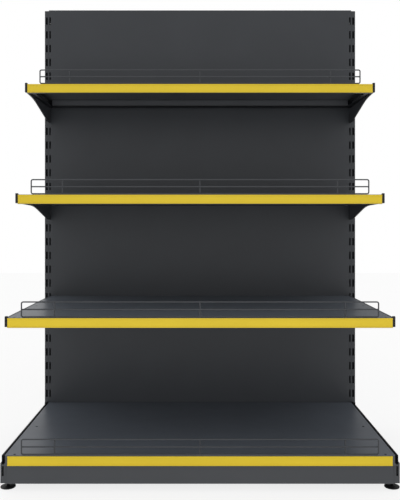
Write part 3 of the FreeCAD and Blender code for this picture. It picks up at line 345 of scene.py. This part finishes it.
def hardware_settings():
    return bpy.context.scene.shelving_hardware


def stage_settings():
    return bpy.context.scene.shelving_stage


def feed(tree, socket, value):
    """Link a node's output to a socket, or set the socket to a plain value."""
    if isinstance(value, bpy.types.NodeSocket):
        tree.links.new(value, socket)
    else:
        socket.default_value = value


def remap(tree, value, start=0, stop=1, low=0, high=1):
    """Value that runs from low to high while the given one runs from start to stop."""
    node = tree.nodes.new("ShaderNodeMapRange")
    feed(tree, node.inputs["Value"], value)
    feed(tree, node.inputs["From Min"], start)
    feed(tree, node.inputs["From Max"], stop)
    feed(tree, node.inputs["To Min"], low)
    feed(tree, node.inputs["To Max"], high)
    return node.outputs["Result"]


def combine(tree, operation, first, second):
    """Result of one sum on two values."""
    node = tree.nodes.new("ShaderNodeMath")
    node.operation = operation
    feed(tree, node.inputs[0], first)
    feed(tree, node.inputs[1], second)
    return node.outputs["Value"]


def start_material(name):
    """Empty node material with its shader and the piece's own coordinates."""
    material = bpy.data.materials.new(name)
    material.use_nodes = True
    tree = material.node_tree
    shader = tree.nodes["Principled BSDF"]
    place = tree.nodes.new("ShaderNodeTexCoord").outputs["Object"]
    return material, tree, shader, place


def noise(tree, place, size, detail=2, stretch=(1, 1, 1)):
    """Grain with cells about size wide, drawn out along the stretched axes."""
    mapping = tree.nodes.new("ShaderNodeMapping")
    mapping.inputs["Scale"].default_value = [1 / (size * factor) for factor in stretch]
    texture = tree.nodes.new("ShaderNodeTexNoise")
    texture.inputs["Scale"].default_value = 1
    texture.inputs["Detail"].default_value = detail
    tree.links.new(place, mapping.inputs["Vector"])
    tree.links.new(mapping.outputs["Vector"], texture.inputs["Vector"])
    return texture.outputs["Fac"]


def spread(tree, grain, low, high):
    """Grain whose middle part runs from low to high."""
    return remap(tree, grain, NOISE_LOW, NOISE_HIGH, low, high)


def tint(tree, grain, colour, low, high):
    """Colour that varies with a grain from low to high times its own brightness."""
    mix = tree.nodes.new("ShaderNodeMix")
    mix.data_type = "RGBA"
    factor, dark, light = mix.inputs[0], mix.inputs[6], mix.inputs[7]
    dark.default_value = [channel * low for channel in colour] + [1]
    light.default_value = [min(channel * high, 1) for channel in colour] + [1]
    tree.links.new(spread(tree, grain, low=0, high=1), factor)
    return mix.outputs[2]


def relief(tree, grain, depth):
    """Normal of a surface whose grain stands depth high."""
    bump = tree.nodes.new("ShaderNodeBump")
    bump.inputs["Distance"].default_value = depth
    tree.links.new(grain, bump.inputs["Height"])
    return bump.outputs["Normal"]


def dress(tree, shader, colour, roughness, normal):
    """Feed a shader's colour, roughness and normal."""
    tree.links.new(colour, shader.inputs["Base Color"])
    tree.links.new(roughness, shader.inputs["Roughness"])
    tree.links.new(normal, shader.inputs["Normal"])


def powder_coat(name, colour, roughness, gloss_level):
    """Satin powder coat: soft clouds of tone, orange peel and uneven gloss."""
    settings = finish_settings()
    material, tree, shader, place = start_material(name)
    shader.inputs["Specular IOR Level"].default_value = gloss_level
    clouds = noise(tree, place, size=0.11, detail=3)
    gloss = noise(tree, place, size=0.035, detail=4)
    peel = noise(tree, place, settings.peel_size)
    dress(tree, shader, tint(tree, clouds, colour, low=0.96, high=1.04),
          spread(tree, gloss, roughness - ROUGHNESS_SPREAD, roughness + ROUGHNESS_SPREAD),
          relief(tree, peel, settings.peel_depth))
    return material


def extruded_plastic(name, colour):
    """Plastic drawn through a die: faint lines along its length and a soft gloss."""
    material, tree, shader, place = start_material(name)
    shader.inputs["Specular IOR Level"].default_value = 0.3
    clouds = noise(tree, place, size=0.05, stretch=(4, 1, 1))
    die_lines = noise(tree, place, size=0.0008, detail=1, stretch=(400, 1, 1))
    dress(tree, shader, tint(tree, clouds, colour, low=0.97, high=1.03),
          spread(tree, die_lines, low=0.36, high=0.44), relief(tree, die_lines, depth=0.000006))
    return material


def moulded_plastic(name, colour):
    """Matt moulded plastic with a fine spark-eroded grain."""
    material, tree, shader, place = start_material(name)
    shader.inputs["Specular IOR Level"].default_value = 0.25
    clouds = noise(tree, place, size=0.02)
    grain = noise(tree, place, size=0.0007, detail=1)
    dress(tree, shader, tint(tree, clouds, colour, low=0.85, high=1.15),
          spread(tree, grain, low=0.45, high=0.6), relief(tree, grain, depth=0.00003))
    return material


def zinc_plate(name, colour):
    """Zinc plating, slightly cloudy, with fine drawing marks."""
    material, tree, shader, place = start_material(name)
    shader.inputs["Metallic"].default_value = 1
    clouds = noise(tree, place, size=0.006, detail=3)
    marks = noise(tree, place, size=0.0006)
    dress(tree, shader, tint(tree, clouds, colour, low=0.8, high=1.15),
          spread(tree, clouds, low=0.28, high=0.42), relief(tree, marks, depth=0.00001))
    return material


# Finishes that aren't powder coats: their maker, and their colour among the settings
OTHER_FINISHES = {
    "yellow_plastic": (extruded_plastic, "strip_colour"),
    "black_plastic": (moulded_plastic, "plastic_colour"),
    "zinc_steel": (zinc_plate, "zinc_colour"),
    "black_steel": (zinc_plate, "black_zinc_colour"),
}


def material_for(finish):
    """Node material of one finish, made on first use."""
    name = f"finish_{finish}"
    if name in bpy.data.materials:
        return bpy.data.materials[name]
    settings = finish_settings()
    if finish in COATS:
        colour, roughness, gloss_level = COATS[finish]
        return powder_coat(name, getattr(settings, colour), getattr(settings, roughness), gloss_level)
    maker, colour = OTHER_FINISHES[finish]
    return maker(name, getattr(settings, colour))


def add_piece(name, mesh, body, slot, finish=None):
    """New object at the origin that rides on a body, in its slot's finish or another."""
    mesh.materials.clear()
    mesh.materials.append(material_for(finish or slot))
    piece = bpy.data.objects.new(name, mesh)
    bpy.context.scene.collection.objects.link(piece)
    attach(piece, body)
    return piece


def paint(node):
    """Give a CAD node the finish of its slot."""
    slots = NODES[node].data.materials
    slots.clear()
    slots.append(material_for(SLOT_OF[node]))


def coat_faces(piece, finish, chosen):
    """Give a further finish to the chosen faces of a piece."""
    piece.data.materials.append(material_for(finish))
    index = len(piece.data.materials) - 1
    for face in piece.data.polygons:
        if chosen(face):
            face.material_index = index


def looks_up(face):
    return face.normal.z > FACING


def looks_down(face):
    return face.normal.z < -FACING


def backs_a_tray(face):
    """True for the inner side of a tray's rear lip."""
    return face.normal.y < -FACING and face.center.y > 0


def merged_copy(node):
    """Copy of a node's mesh with its triangles joined into whole faces."""
    shell = bmesh.new()
    shell.from_mesh(NODES[node].data)
    bmesh.ops.remove_doubles(shell, verts=shell.verts, dist=WELD_DISTANCE)
    bmesh.ops.dissolve_limit(shell, angle_limit=FLAT_ANGLE, verts=shell.verts, edges=shell.edges)
    return shell


def ease_edges(shell, width):
    """Round the sharp edges of a shell."""
    edges = [edge for edge in shell.edges if edge.is_manifold and edge.calc_face_angle() > SHARP_ANGLE]
    if not edges:
        raise RuntimeError("there is no edge to ease")
    bmesh.ops.bevel(shell, geom=edges, offset=width, segments=EASE_STEPS, profile=ROUND_PROFILE,
                    affect="EDGES", clamp_overlap=True)


def plain_mesh(carrier):
    """Mesh of an object with its modifiers worked in; the object itself goes."""
    evaluated = carrier.evaluated_get(bpy.context.evaluated_depsgraph_get())
    mesh = bpy.data.meshes.new_from_object(evaluated)
    bpy.data.objects.remove(carrier)
    return mesh


def shell_mesh(name, shell):
    """Plain mesh of a shell, smooth except across its sharp edges, large faces kept flat."""
    mesh = bpy.data.meshes.new(name)
    shell.to_mesh(mesh)
    shell.free()
    custom = mesh.attributes.get("custom_normal")
    if custom is not None:
        mesh.attributes.remove(custom)
    for face in mesh.polygons:
        face.use_smooth = True
    mesh.set_sharp_from_angle(angle=SHARP_ANGLE)
    carrier = bpy.data.objects.new(name, mesh)
    bpy.context.scene.collection.objects.link(carrier)
    weight = carrier.modifiers.new("Weight", "WEIGHTED_NORMAL")
    weight.mode = "FACE_AREA"
    weight.weight = LARGEST_FACE
    weight.keep_sharp = True
    weighted = plain_mesh(carrier)
    weighted.name = name
    return weighted


def stand_in(node, shell, word, finish=None):
    """Piece made from a shell that takes a node's place."""
    name = f"{node}_{word}"
    piece = add_piece(name, shell_mesh(name, shell), BODY_OF[node], SLOT_OF[node], finish)
    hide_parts(node)
    return piece


def ease(node, width, finish=None):
    """Stand-in for a node with its cut edges eased, as they are under paint."""
    shell = merged_copy(node)
    ease_edges(shell, width)
    return stand_in(node, shell, "eased", finish)


def shorten_notches(node):
    """Stand-in for a back panel with shorter notches, which cover a little of the slots behind."""
    settings = hardware_settings()
    shell = merged_copy(node)
    for vertex in shell.verts:
        if abs(abs(vertex.co.x) - settings.notch_edge) < TOUCH_DISTANCE:
            vertex.co.x += math.copysign(settings.notch_fill, vertex.co.x)
    ease_edges(shell, finish_settings().sheet_edge)
    stand_in(node, shell, "eased", "panel_coat")


def trim(node, end):
    """Stand-in for a ticket strip or card, cut a little short at its top or bottom end."""
    low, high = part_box(node)
    middle = (low.z + high.z) / 2
    shell = merged_copy(node)
    for vertex in shell.verts:
        if (vertex.co.z - middle) * end > 0:
            vertex.co.z -= end * hardware_settings().strip_trim
    ease_edges(shell, finish_settings().strip_edge)
    stand_in(node, shell, "trimmed")


def drawn_mesh(name, section, start, stop, corner=0):
    """Mesh of a section in Y and Z drawn along X, its long edges rounded by corner, the rest eased."""
    shell = bmesh.new()
    ends = [[shell.verts.new((x, y, z)) for y, z in section] for x in (start, stop)]
    for end in ends:
        shell.faces.new(end)
    for index in range(len(section)):
        following = (index + 1) % len(section)
        shell.faces.new((ends[0][index], ends[0][following], ends[1][following], ends[1][index]))
    bmesh.ops.recalc_face_normals(shell, faces=shell.faces)
    if corner:
        long_edges = [edge for edge in shell.edges if edge.verts[0].co.x != edge.verts[1].co.x]
        bmesh.ops.bevel(shell, geom=long_edges, offset=corner, segments=CORNER_STEPS,
                        profile=ROUND_PROFILE, affect="EDGES")
    ease_edges(shell, FOLD_EDGE)
    return shell_mesh(name, shell)


def new_tree(name, inputs):
    """Geometry Nodes tree with a start geometry and named sizes."""
    tree = bpy.data.node_groups.new(name, "GeometryNodeTree")
    tree.interface.new_socket("Geometry", in_out="OUTPUT", socket_type="NodeSocketGeometry")
    tree.interface.new_socket("Geometry", in_out="INPUT", socket_type="NodeSocketGeometry")
    for label, kind in inputs:
        tree.interface.new_socket(label, in_out="INPUT", socket_type=kind)
    return tree, tree.nodes.new("NodeGroupInput").outputs, tree.nodes.new("NodeGroupOutput").inputs


def close_tree(tree, geometry, result, finish):
    """Realize a tree's instances, smooth them and give them their finish."""
    realize = tree.nodes.new("GeometryNodeRealizeInstances")
    smooth = tree.nodes.new("GeometryNodeSetShadeSmooth")
    coat = tree.nodes.new("GeometryNodeSetMaterial")
    coat.inputs["Material"].default_value = material_for(finish)
    tree.links.new(geometry, realize.inputs["Geometry"])
    tree.links.new(realize.outputs["Geometry"], smooth.inputs["Geometry"])
    tree.links.new(smooth.outputs["Geometry"], coat.inputs["Geometry"])
    tree.links.new(coat.outputs["Geometry"], result["Geometry"])


def grown_mesh(name, tree, points, sizes):
    """Plain mesh that a tree grows on points with the given sizes."""
    start = bpy.data.meshes.new(name)
    start.from_pydata(points, [], [])
    carrier = bpy.data.objects.new(name, start)
    bpy.context.scene.collection.objects.link(carrier)
    modifier = carrier.modifiers.new("Pattern", "NODES")
    modifier.node_group = tree
    for socket in tree.interface.items_tree:
        if socket.in_out == "INPUT" and socket.name in sizes:
            modifier[socket.identifier] = sizes[socket.name]
    mesh = plain_mesh(carrier)
    if not mesh.polygons:
        raise RuntimeError(f"{name} grew no faces")
    mesh.name = name
    return mesh


def bead_tree(finish):
    """Tree that sets one flattened bead on each point."""
    name = f"beads_{finish}"
    if name in bpy.data.node_groups:
        return bpy.data.node_groups[name]
    inputs = [("Radius", "NodeSocketFloat"), ("Proportions", "NodeSocketVector")]
    tree, given, result = new_tree(name, inputs)
    bead = tree.nodes.new("GeometryNodeMeshIcoSphere")
    bead.inputs["Subdivisions"].default_value = BEAD_SUBDIVISIONS
    scatter = tree.nodes.new("GeometryNodeInstanceOnPoints")
    tree.links.new(given["Radius"], bead.inputs["Radius"])
    tree.links.new(given["Geometry"], scatter.inputs["Points"])
    tree.links.new(bead.outputs["Mesh"], scatter.inputs["Instance"])
    tree.links.new(given["Proportions"], scatter.inputs["Scale"])
    close_tree(tree, scatter.outputs["Instances"], result, finish)
    return tree


def thread_tree(finish):
    """Tree that winds one thread ridge up from each point."""
    name = "stem_thread"
    if name in bpy.data.node_groups:
        return bpy.data.node_groups[name]
    inputs = [(label, "NodeSocketFloat") for label in ("Radius", "Ridge", "Turns", "Height")]
    tree, given, result = new_tree(name, inputs)
    spiral = tree.nodes.new("GeometryNodeCurveSpiral")
    spiral.inputs["Resolution"].default_value = TURN_STEPS
    for end in ("Start Radius", "End Radius"):
        tree.links.new(given["Radius"], spiral.inputs[end])
    tree.links.new(given["Turns"], spiral.inputs["Rotations"])
    tree.links.new(given["Height"], spiral.inputs["Height"])
    upright = tree.nodes.new("GeometryNodeSetCurveNormal")
    upright.mode = "Z_UP"
    section = tree.nodes.new("GeometryNodeCurvePrimitiveCircle")
    section.inputs["Resolution"].default_value = RIDGE_SIDES
    tree.links.new(given["Ridge"], section.inputs["Radius"])
    wind = tree.nodes.new("GeometryNodeCurveToMesh")
    wind.inputs["Fill Caps"].default_value = True
    tree.links.new(spiral.outputs["Curve"], upright.inputs["Curve"])
    tree.links.new(upright.outputs["Curve"], wind.inputs["Curve"])
    tree.links.new(section.outputs["Curve"], wind.inputs["Profile Curve"])
    scatter = tree.nodes.new("GeometryNodeInstanceOnPoints")
    tree.links.new(given["Geometry"], scatter.inputs["Points"])
    tree.links.new(wind.outputs["Mesh"], scatter.inputs["Instance"])
    close_tree(tree, scatter.outputs["Instances"], result, finish)
    return tree


def flange_middles(node):
    """Y of the middle of each flange of a stiffener, front and rear of each hat."""
    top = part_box(node)[1].z
    world = NODES[node].matrix_world
    points = [world @ vertex.co for vertex in NODES[node].data.vertices]
    lines = sorted({round(point.y, PLACE_DIGITS) for point in points if point.z > top - TOUCH_DISTANCE})
    return [(first + second) / 2 for first, second in zip(lines[0::2], lines[1::2])]


def add_spot_welds(node):
    """Row of spot welds under each flange of a stiffener."""
    settings = hardware_settings()
    low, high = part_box(node)
    length = high.x - low.x
    count = int(length / settings.spot_pitch)
    pitch = length / (count + 1)
    under = high.z - HAT_SHEET
    points = [(low.x + pitch * (step + 1), y, under) for y in flange_middles(node) for step in range(count)]
    sizes = {"Radius": settings.spot_radius, "Proportions": SPOT_SHAPE}
    # The welds take the near-black painted shade of the flange's underside
    mesh = grown_mesh(f"{node}_spot_welds", bead_tree("hidden_coat"), points, sizes)
    add_piece(f"{node}_spot_welds", mesh, BODY_OF[node], SLOT_OF[node], "hidden_coat")


def add_nuggets(node):
    """Weld nuggets where a fence's posts and middle rail meet its loop."""
    settings = hardware_settings()
    low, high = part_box(node)
    radius = settings.wire_radius
    rails = low.y + radius
    posts = high.y - radius
    top = high.z - radius
    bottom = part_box(node.replace("fence", "tray"))[1].z + radius
    middle = (bottom + top) / 2
    crossing = (rails + posts) / 2
    post_places = (-settings.post_reach, 0, settings.post_reach)
    points = [(x, crossing, z) for x in post_places for z in (bottom, middle, top)]
    points += [(x, rails, middle) for x in (low.x + 2 * radius, high.x - 2 * radius)]
    sizes = {"Radius": settings.nugget_radius, "Proportions": NUGGET_SHAPE}
    mesh = grown_mesh(f"{node}_nuggets", bead_tree(SLOT_OF[node]), points, sizes)
    add_piece(f"{node}_nuggets", mesh, BODY_OF[node], SLOT_OF[node])


def add_tongue(node):
    """Lip turned up behind a panel's top fold, which the panel above drops in front of."""
    settings = hardware_settings()
    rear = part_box(node)[1].y
    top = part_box(node)[1].z
    sheet = settings.tongue_sheet
    front = rear + settings.tongue_gap
    crown = top + settings.tongue_height
    # The foot of the lip lies just inside the fold, and its upper end leans back
    foot = top - sheet / 8
    section = (
        (rear - sheet, top - sheet), (front + sheet, top - sheet), (front + sheet, crown - sheet),
        (front + 3 * sheet, crown + sheet), (front + 2 * sheet, crown + sheet), (front, crown - sheet),
        (front, foot), (rear - sheet, foot),
    )
    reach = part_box("upright_right")[0].x - settings.tongue_margin
    mesh = drawn_mesh(f"{node}_tongue", section, -reach, reach)
    add_piece(f"{node}_tongue", mesh, BODY_OF[node], SLOT_OF[node], "panel_coat")


def add_leg_flange(node, side):
    """Front end of a base leg folded in over the corner of the deck."""
    settings = hardware_settings()
    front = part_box(node)[0].y
    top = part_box(node)[1].z
    rear = front + settings.flange_sheet
    bottom = top - settings.flange_height
    section = ((front, bottom), (rear, bottom), (rear, top), (front, top))
    turn = SIDES[side]
    mesh = drawn_mesh(f"{node}_flange", section, turn * settings.flange_inner, turn * settings.flange_outer)
    add_piece(f"{node}_flange", mesh, BODY_OF[node], SLOT_OF[node])


def add_nose_cap(node, side):
    """Moulded cap pushed on the nose of a shelf bracket."""
    settings = hardware_settings()
    low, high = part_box(node)
    wall = settings.cap_wall
    # The cap is thinner over the edges of the plate than beside it
    skin = wall / 4
    front = low.y - skin
    rear = low.y + settings.cap_length
    top = high.z + skin
    bottom = high.z - settings.cap_height
    section = ((front, bottom), (rear, bottom), (rear, top), (front, top))
    outer = max(abs(low.x), abs(high.x)) + wall
    inner = outer - settings.cap_width
    turn = SIDES[side]
    mesh = drawn_mesh(f"{node}_cap", section, turn * inner, turn * outer, settings.cap_corner)
    add_piece(f"{node}_cap", mesh, BODY_OF[node], "black_plastic")


def add_threaded_stem(node):
    """Stand-in for a foot's stem and jam nut with the thread cut on it."""
    settings = hardware_settings()
    low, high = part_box(node)
    axis = (low + high) / 2
    crest = settings.stem_radius
    root = crest - settings.thread_pitch / 2
    shell = merged_copy(node)
    for vertex in shell.verts:
        arm = Vector((vertex.co.x - axis.x, vertex.co.y - axis.y, 0))
        if abs(arm.length - crest) < TOUCH_DISTANCE:
            vertex.co -= arm * (1 - root / crest)
    ease_edges(shell, finish_settings().sheet_edge)
    height = high.z - low.z
    sizes = {"Radius": root, "Ridge": crest - root, "Height": height - settings.thread_pitch,
             "Turns": height / settings.thread_pitch - 1}
    start = (axis.x, axis.y, low.z + settings.thread_pitch / 2)
    shell.from_mesh(grown_mesh(f"{node}_thread", thread_tree(SLOT_OF[node]), [start], sizes))
    stand_in(node, shell, "threaded")


def seen_rays(tree):
    """1 for the rays that see the background itself, in the picture or in a reflection."""
    path = tree.nodes.new("ShaderNodeLightPath").outputs
    seen = path["Is Camera Ray"]
    for kind in ("Is Glossy Ray", "Is Transmission Ray"):
        seen = combine(tree, "MAXIMUM", seen, path[kind])
    return seen


def open_floor(tree, place):
    """Glow of the open floor, which fades out under the unit."""
    settings = stage_settings()
    mapping = tree.nodes.new("ShaderNodeMapping")
    mapping.vector_type = "TEXTURE"
    mapping.inputs["Location"].default_value = settings.shade_centre
    mapping.inputs["Scale"].default_value = settings.shade_half
    size = tree.nodes.new("ShaderNodeVectorMath")
    size.operation = "ABSOLUTE"
    split = tree.nodes.new("ShaderNodeSeparateXYZ")
    tree.links.new(place, mapping.inputs["Vector"])
    tree.links.new(mapping.outputs["Vector"], size.inputs[0])
    tree.links.new(size.outputs["Vector"], split.inputs["Vector"])
    larger = combine(tree, "MAXIMUM", split.outputs["X"], split.outputs["Y"])
    return remap(tree, larger, start=1 - settings.shade_softness, high=settings.floor_glow)


def floor_material():
    """Matt white, with a share of plain white for the rays that see the background."""
    settings = stage_settings()
    material, tree, shader, place = start_material("floor")
    clouds = noise(tree, place, size=0.7)
    colour = tint(tree, clouds, settings.floor_colour, low=0.99, high=1.01)
    tree.links.new(colour, shader.inputs["Base Color"])
    shader.inputs["Roughness"].default_value = settings.floor_roughness
    shader.inputs["Specular IOR Level"].default_value = 0
    glow = tree.nodes.new("ShaderNodeEmission")
    mix = tree.nodes.new("ShaderNodeMixShader")
    share = combine(tree, "MULTIPLY", seen_rays(tree), open_floor(tree, place))
    tree.links.new(share, mix.inputs["Fac"])
    tree.links.new(shader.outputs["BSDF"], mix.inputs[1])
    tree.links.new(glow.outputs["Emission"], mix.inputs[2])
    tree.links.new(mix.outputs["Shader"], tree.nodes["Material Output"].inputs["Surface"])
    return material


def add_floor():
    """White floor that keeps the unit's shadow."""
    half = FLOOR_SIZE / 2
    corners = [(x * half, y * half, -FLOOR_DROP) for x, y in ((-1, -1), (1, -1), (1, 1), (-1, 1))]
    mesh = bpy.data.meshes.new("floor")
    mesh.from_pydata(corners, [], [range(len(corners))])
    mesh.materials.append(floor_material())
    floor = bpy.data.objects.new("floor", mesh)
    bpy.context.scene.collection.objects.link(floor)


def dim_side(tree):
    """Light of the studio, lower behind the unit on the right; the camera sees no difference."""
    settings = stage_settings()
    turn = tree.nodes.new("ShaderNodeVectorMath")
    turn.operation = "DOT_PRODUCT"
    turn.inputs[1].default_value = settings.dim_direction
    tree.links.new(tree.nodes.new("ShaderNodeTexCoord").outputs["Generated"], turn.inputs[0])
    fall = remap(tree, turn.outputs["Value"], start=settings.dim_start, stop=settings.dim_stop,
                 low=1, high=settings.dim_level)
    camera_ray = tree.nodes.new("ShaderNodeLightPath").outputs["Is Camera Ray"]
    return remap(tree, camera_ray, low=fall)


def add_sky():
    """Studio light that shows as white, a little dimmer on one side."""
    world = bpy.data.worlds.new("studio")
    world.use_nodes = True
    tree = world.node_tree
    background = tree.nodes["Background"]
    background.inputs["Color"].default_value = (1, 1, 1, 1)
    level = remap(tree, seen_rays(tree), low=stage_settings().sky_level)
    strength = combine(tree, "MULTIPLY", level, dim_side(tree))
    tree.links.new(strength, background.inputs["Strength"])
    bpy.context.scene.world = world


def add_fill_light():
    """Wide soft lamp low in front that lifts the kick plate and the lowest strip."""
    settings = stage_settings()
    lamp = bpy.data.lights.new("fill", "AREA")
    lamp.shape = "RECTANGLE"
    lamp.size = settings.fill_length
    lamp.size_y = settings.fill_height
    lamp.energy = settings.fill_power
    fill = bpy.data.objects.new("fill", lamp)
    bpy.context.scene.collection.objects.link(fill)
    fill.location = settings.fill_place
    fill.visible_glossy = False
    fill.visible_camera = False
    aim = Vector(settings.fill_aim) - fill.location
    fill.rotation_euler = aim.to_track_quat("-Z", "Y").to_euler()


def add_camera():
    """Level camera in front of the middle of the bay."""
    settings = stage_settings()
    camera = bpy.data.cameras.new("camera")
    camera.lens = settings.lens
    camera.sensor_width = SENSOR_SIZE
    camera.shift_y = settings.frame_shift
    view = bpy.data.objects.new("camera", camera)
    bpy.context.scene.collection.objects.link(view)
    upright_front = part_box("upright_left")[0].y
    view.location = (0, upright_front - settings.camera_distance, settings.eye_height)
    view.rotation_euler = (math.radians(90), 0, 0)
    bpy.context.scene.camera = view


class SHELVING_OT_uprights(bpy.types.Operator):
    """Finish the slotted uprights, their caps, the tie bars and the bolts"""

    bl_idname = "shelving.uprights"
    bl_label = "Uprights and tie bars"

    def execute(self, context):
        edge = finish_settings().plate_edge
        for side in SIDES:
            ease(f"upright_{side}", edge, "panel_coat")
            ease(f"upright_cap_{side}", edge)
        for level in ("top", "base"):
            ease(f"tie_bar_{level}", edge)
        ease("tie_bolts", edge)
        paint("tie_rivet_nuts")
        return {"FINISHED"}


class SHELVING_OT_back_panels(bpy.types.Operator):
    """Finish the notched back panels and set a lip behind each seam"""

    bl_idname = "shelving.back_panels"
    bl_label = "Back panels"

    def execute(self, context):
        for level in PANELS:
            shorten_notches(f"back_panel_{level}")
        for level in PANELS[:-1]:
            add_tongue(f"back_panel_{level}")
        return {"FINISHED"}


class SHELVING_OT_base(bpy.types.Operator):
    """Finish the base legs, the kick plate and its holders"""

    bl_idname = "shelving.base"
    bl_label = "Base"

    def execute(self, context):
        edge = finish_settings().sheet_edge
        for side in SIDES:
            ease(f"base_leg_{side}", edge)
            ease(f"kick_holder_{side}", edge)
            add_leg_flange(f"base_leg_{side}", side)
        ease("kick_plate", edge)
        return {"FINISHED"}


class SHELVING_OT_trays(bpy.types.Operator):
    """Finish the trays and their stiffeners, with the spot welds that join them"""

    bl_idname = "shelving.trays"
    bl_label = "Trays and stiffeners"

    def execute(self, context):
        edge = finish_settings().sheet_edge
        for level in LEVELS:
            tray = ease(f"{level}_tray", edge, "under_coat")
            # The tray tops get a lighter copy of the coat, painted light; the inner sides of the rear lips
            # a near-black one, painted shade
            coat_faces(tray, "tray_coat", looks_up)
            coat_faces(tray, "hidden_coat", backs_a_tray)
            stiffener = ease(f"{level}_stiffener", edge, "under_coat")
            # The stiffener's down-facing faces get a near-black copy of the coat: painted shade
            coat_faces(stiffener, "hidden_coat", looks_down)
            add_spot_welds(f"{level}_stiffener")
        return {"FINISHED"}


class SHELVING_OT_brackets(bpy.types.Operator):
    """Finish the hook brackets and cap their noses"""

    bl_idname = "shelving.brackets"
    bl_label = "Brackets"

    def execute(self, context):
        for level in SHELVES:
            for side in SIDES:
                bracket = ease(f"{level}_bracket_{side}", finish_settings().plate_edge)
                # The bracket's down-facing faces get a near-black copy of the coat: painted shade
                coat_faces(bracket, "hidden_coat", looks_down)
                add_nose_cap(f"{level}_bracket_{side}", side)
        return {"FINISHED"}


class SHELVING_OT_ticket_strips(bpy.types.Operator):
    """Finish the ticket strips and their cards"""

    bl_idname = "shelving.ticket_strips"
    bl_label = "Ticket strips"

    def execute(self, context):
        for level in LEVELS:
            cut_end = TOP_END if level == "base" else BOTTOM_END
            trim(f"{level}_ticket_strip", cut_end)
            trim(f"{level}_ticket_card", cut_end)
        return {"FINISHED"}


class SHELVING_OT_fences(bpy.types.Operator):
    """Finish the wire fences and set a weld nugget where two wires cross"""

    bl_idname = "shelving.fences"
    bl_label = "Wire fences"

    def execute(self, context):
        for level in LEVELS:
            paint(f"{level}_fence")
            add_nuggets(f"{level}_fence")
        return {"FINISHED"}


class SHELVING_OT_feet(bpy.types.Operator):
    """Finish the levelling feet and cut their threads"""

    bl_idname = "shelving.feet"
    bl_label = "Levelling feet"

    def execute(self, context):
        for end in ("front", "rear"):
            for side in SIDES:
                ease(f"foot_pad_{end}_{side}", finish_settings().sheet_edge)
                add_threaded_stem(f"foot_stem_{end}_{side}")
        paint("foot_weld_nuts")
        paint("foot_inserts")
        return {"FINISHED"}


class SHELVING_OT_stage(bpy.types.Operator):
    """Set the floor, the studio light and the camera"""

    bl_idname = "shelving.stage"
    bl_label = "Stage"

    def execute(self, context):
        add_floor()
        add_sky()
        add_fill_light()
        add_camera()
        context.scene.view_settings.view_transform = "Standard"
        return {"FINISHED"}


OPERATORS = (
    SHELVING_OT_uprights, SHELVING_OT_back_panels, SHELVING_OT_base, SHELVING_OT_trays,
    SHELVING_OT_brackets, SHELVING_OT_ticket_strips, SHELVING_OT_fences, SHELVING_OT_feet,
    SHELVING_OT_stage,
)


class SHELVING_PT_panel(bpy.types.Panel):
    """Lists the steps that dress the shelving bay."""

    bl_idname = "SHELVING_PT_panel"
    bl_label = "Shelving bay"
    bl_space_type = "VIEW_3D"
    bl_region_type = "UI"
    bl_category = "Shelving"

    def draw(self, context):
        for operator in OPERATORS:
            self.layout.operator(operator.bl_idname)


SETTINGS = (
    ("shelving_finish", FinishSettings),
    ("shelving_hardware", HardwareSettings),
    ("shelving_stage", StageSettings),
)


def register():
    for name, group in SETTINGS:
        bpy.utils.register_class(group)
        setattr(bpy.types.Scene, name, bpy.props.PointerProperty(type=group))
    for operator in OPERATORS:
        bpy.utils.register_class(operator)
    bpy.utils.register_class(SHELVING_PT_panel)


def unregister():
    bpy.utils.unregister_class(SHELVING_PT_panel)
    for operator in reversed(OPERATORS):
        bpy.utils.unregister_class(operator)
    for name, group in reversed(SETTINGS):
        delattr(bpy.types.Scene, name)
        bpy.utils.unregister_class(group)


def main():
    register()
    bpy.ops.shelving.uprights()
    bpy.ops.shelving.back_panels()
    bpy.ops.shelving.base()
    bpy.ops.shelving.trays()
    bpy.ops.shelving.brackets()
    bpy.ops.shelving.ticket_strips()
    bpy.ops.shelving.fences()
    bpy.ops.shelving.feet()
    bpy.ops.shelving.stage()


if __name__ == "__main__":
    main()
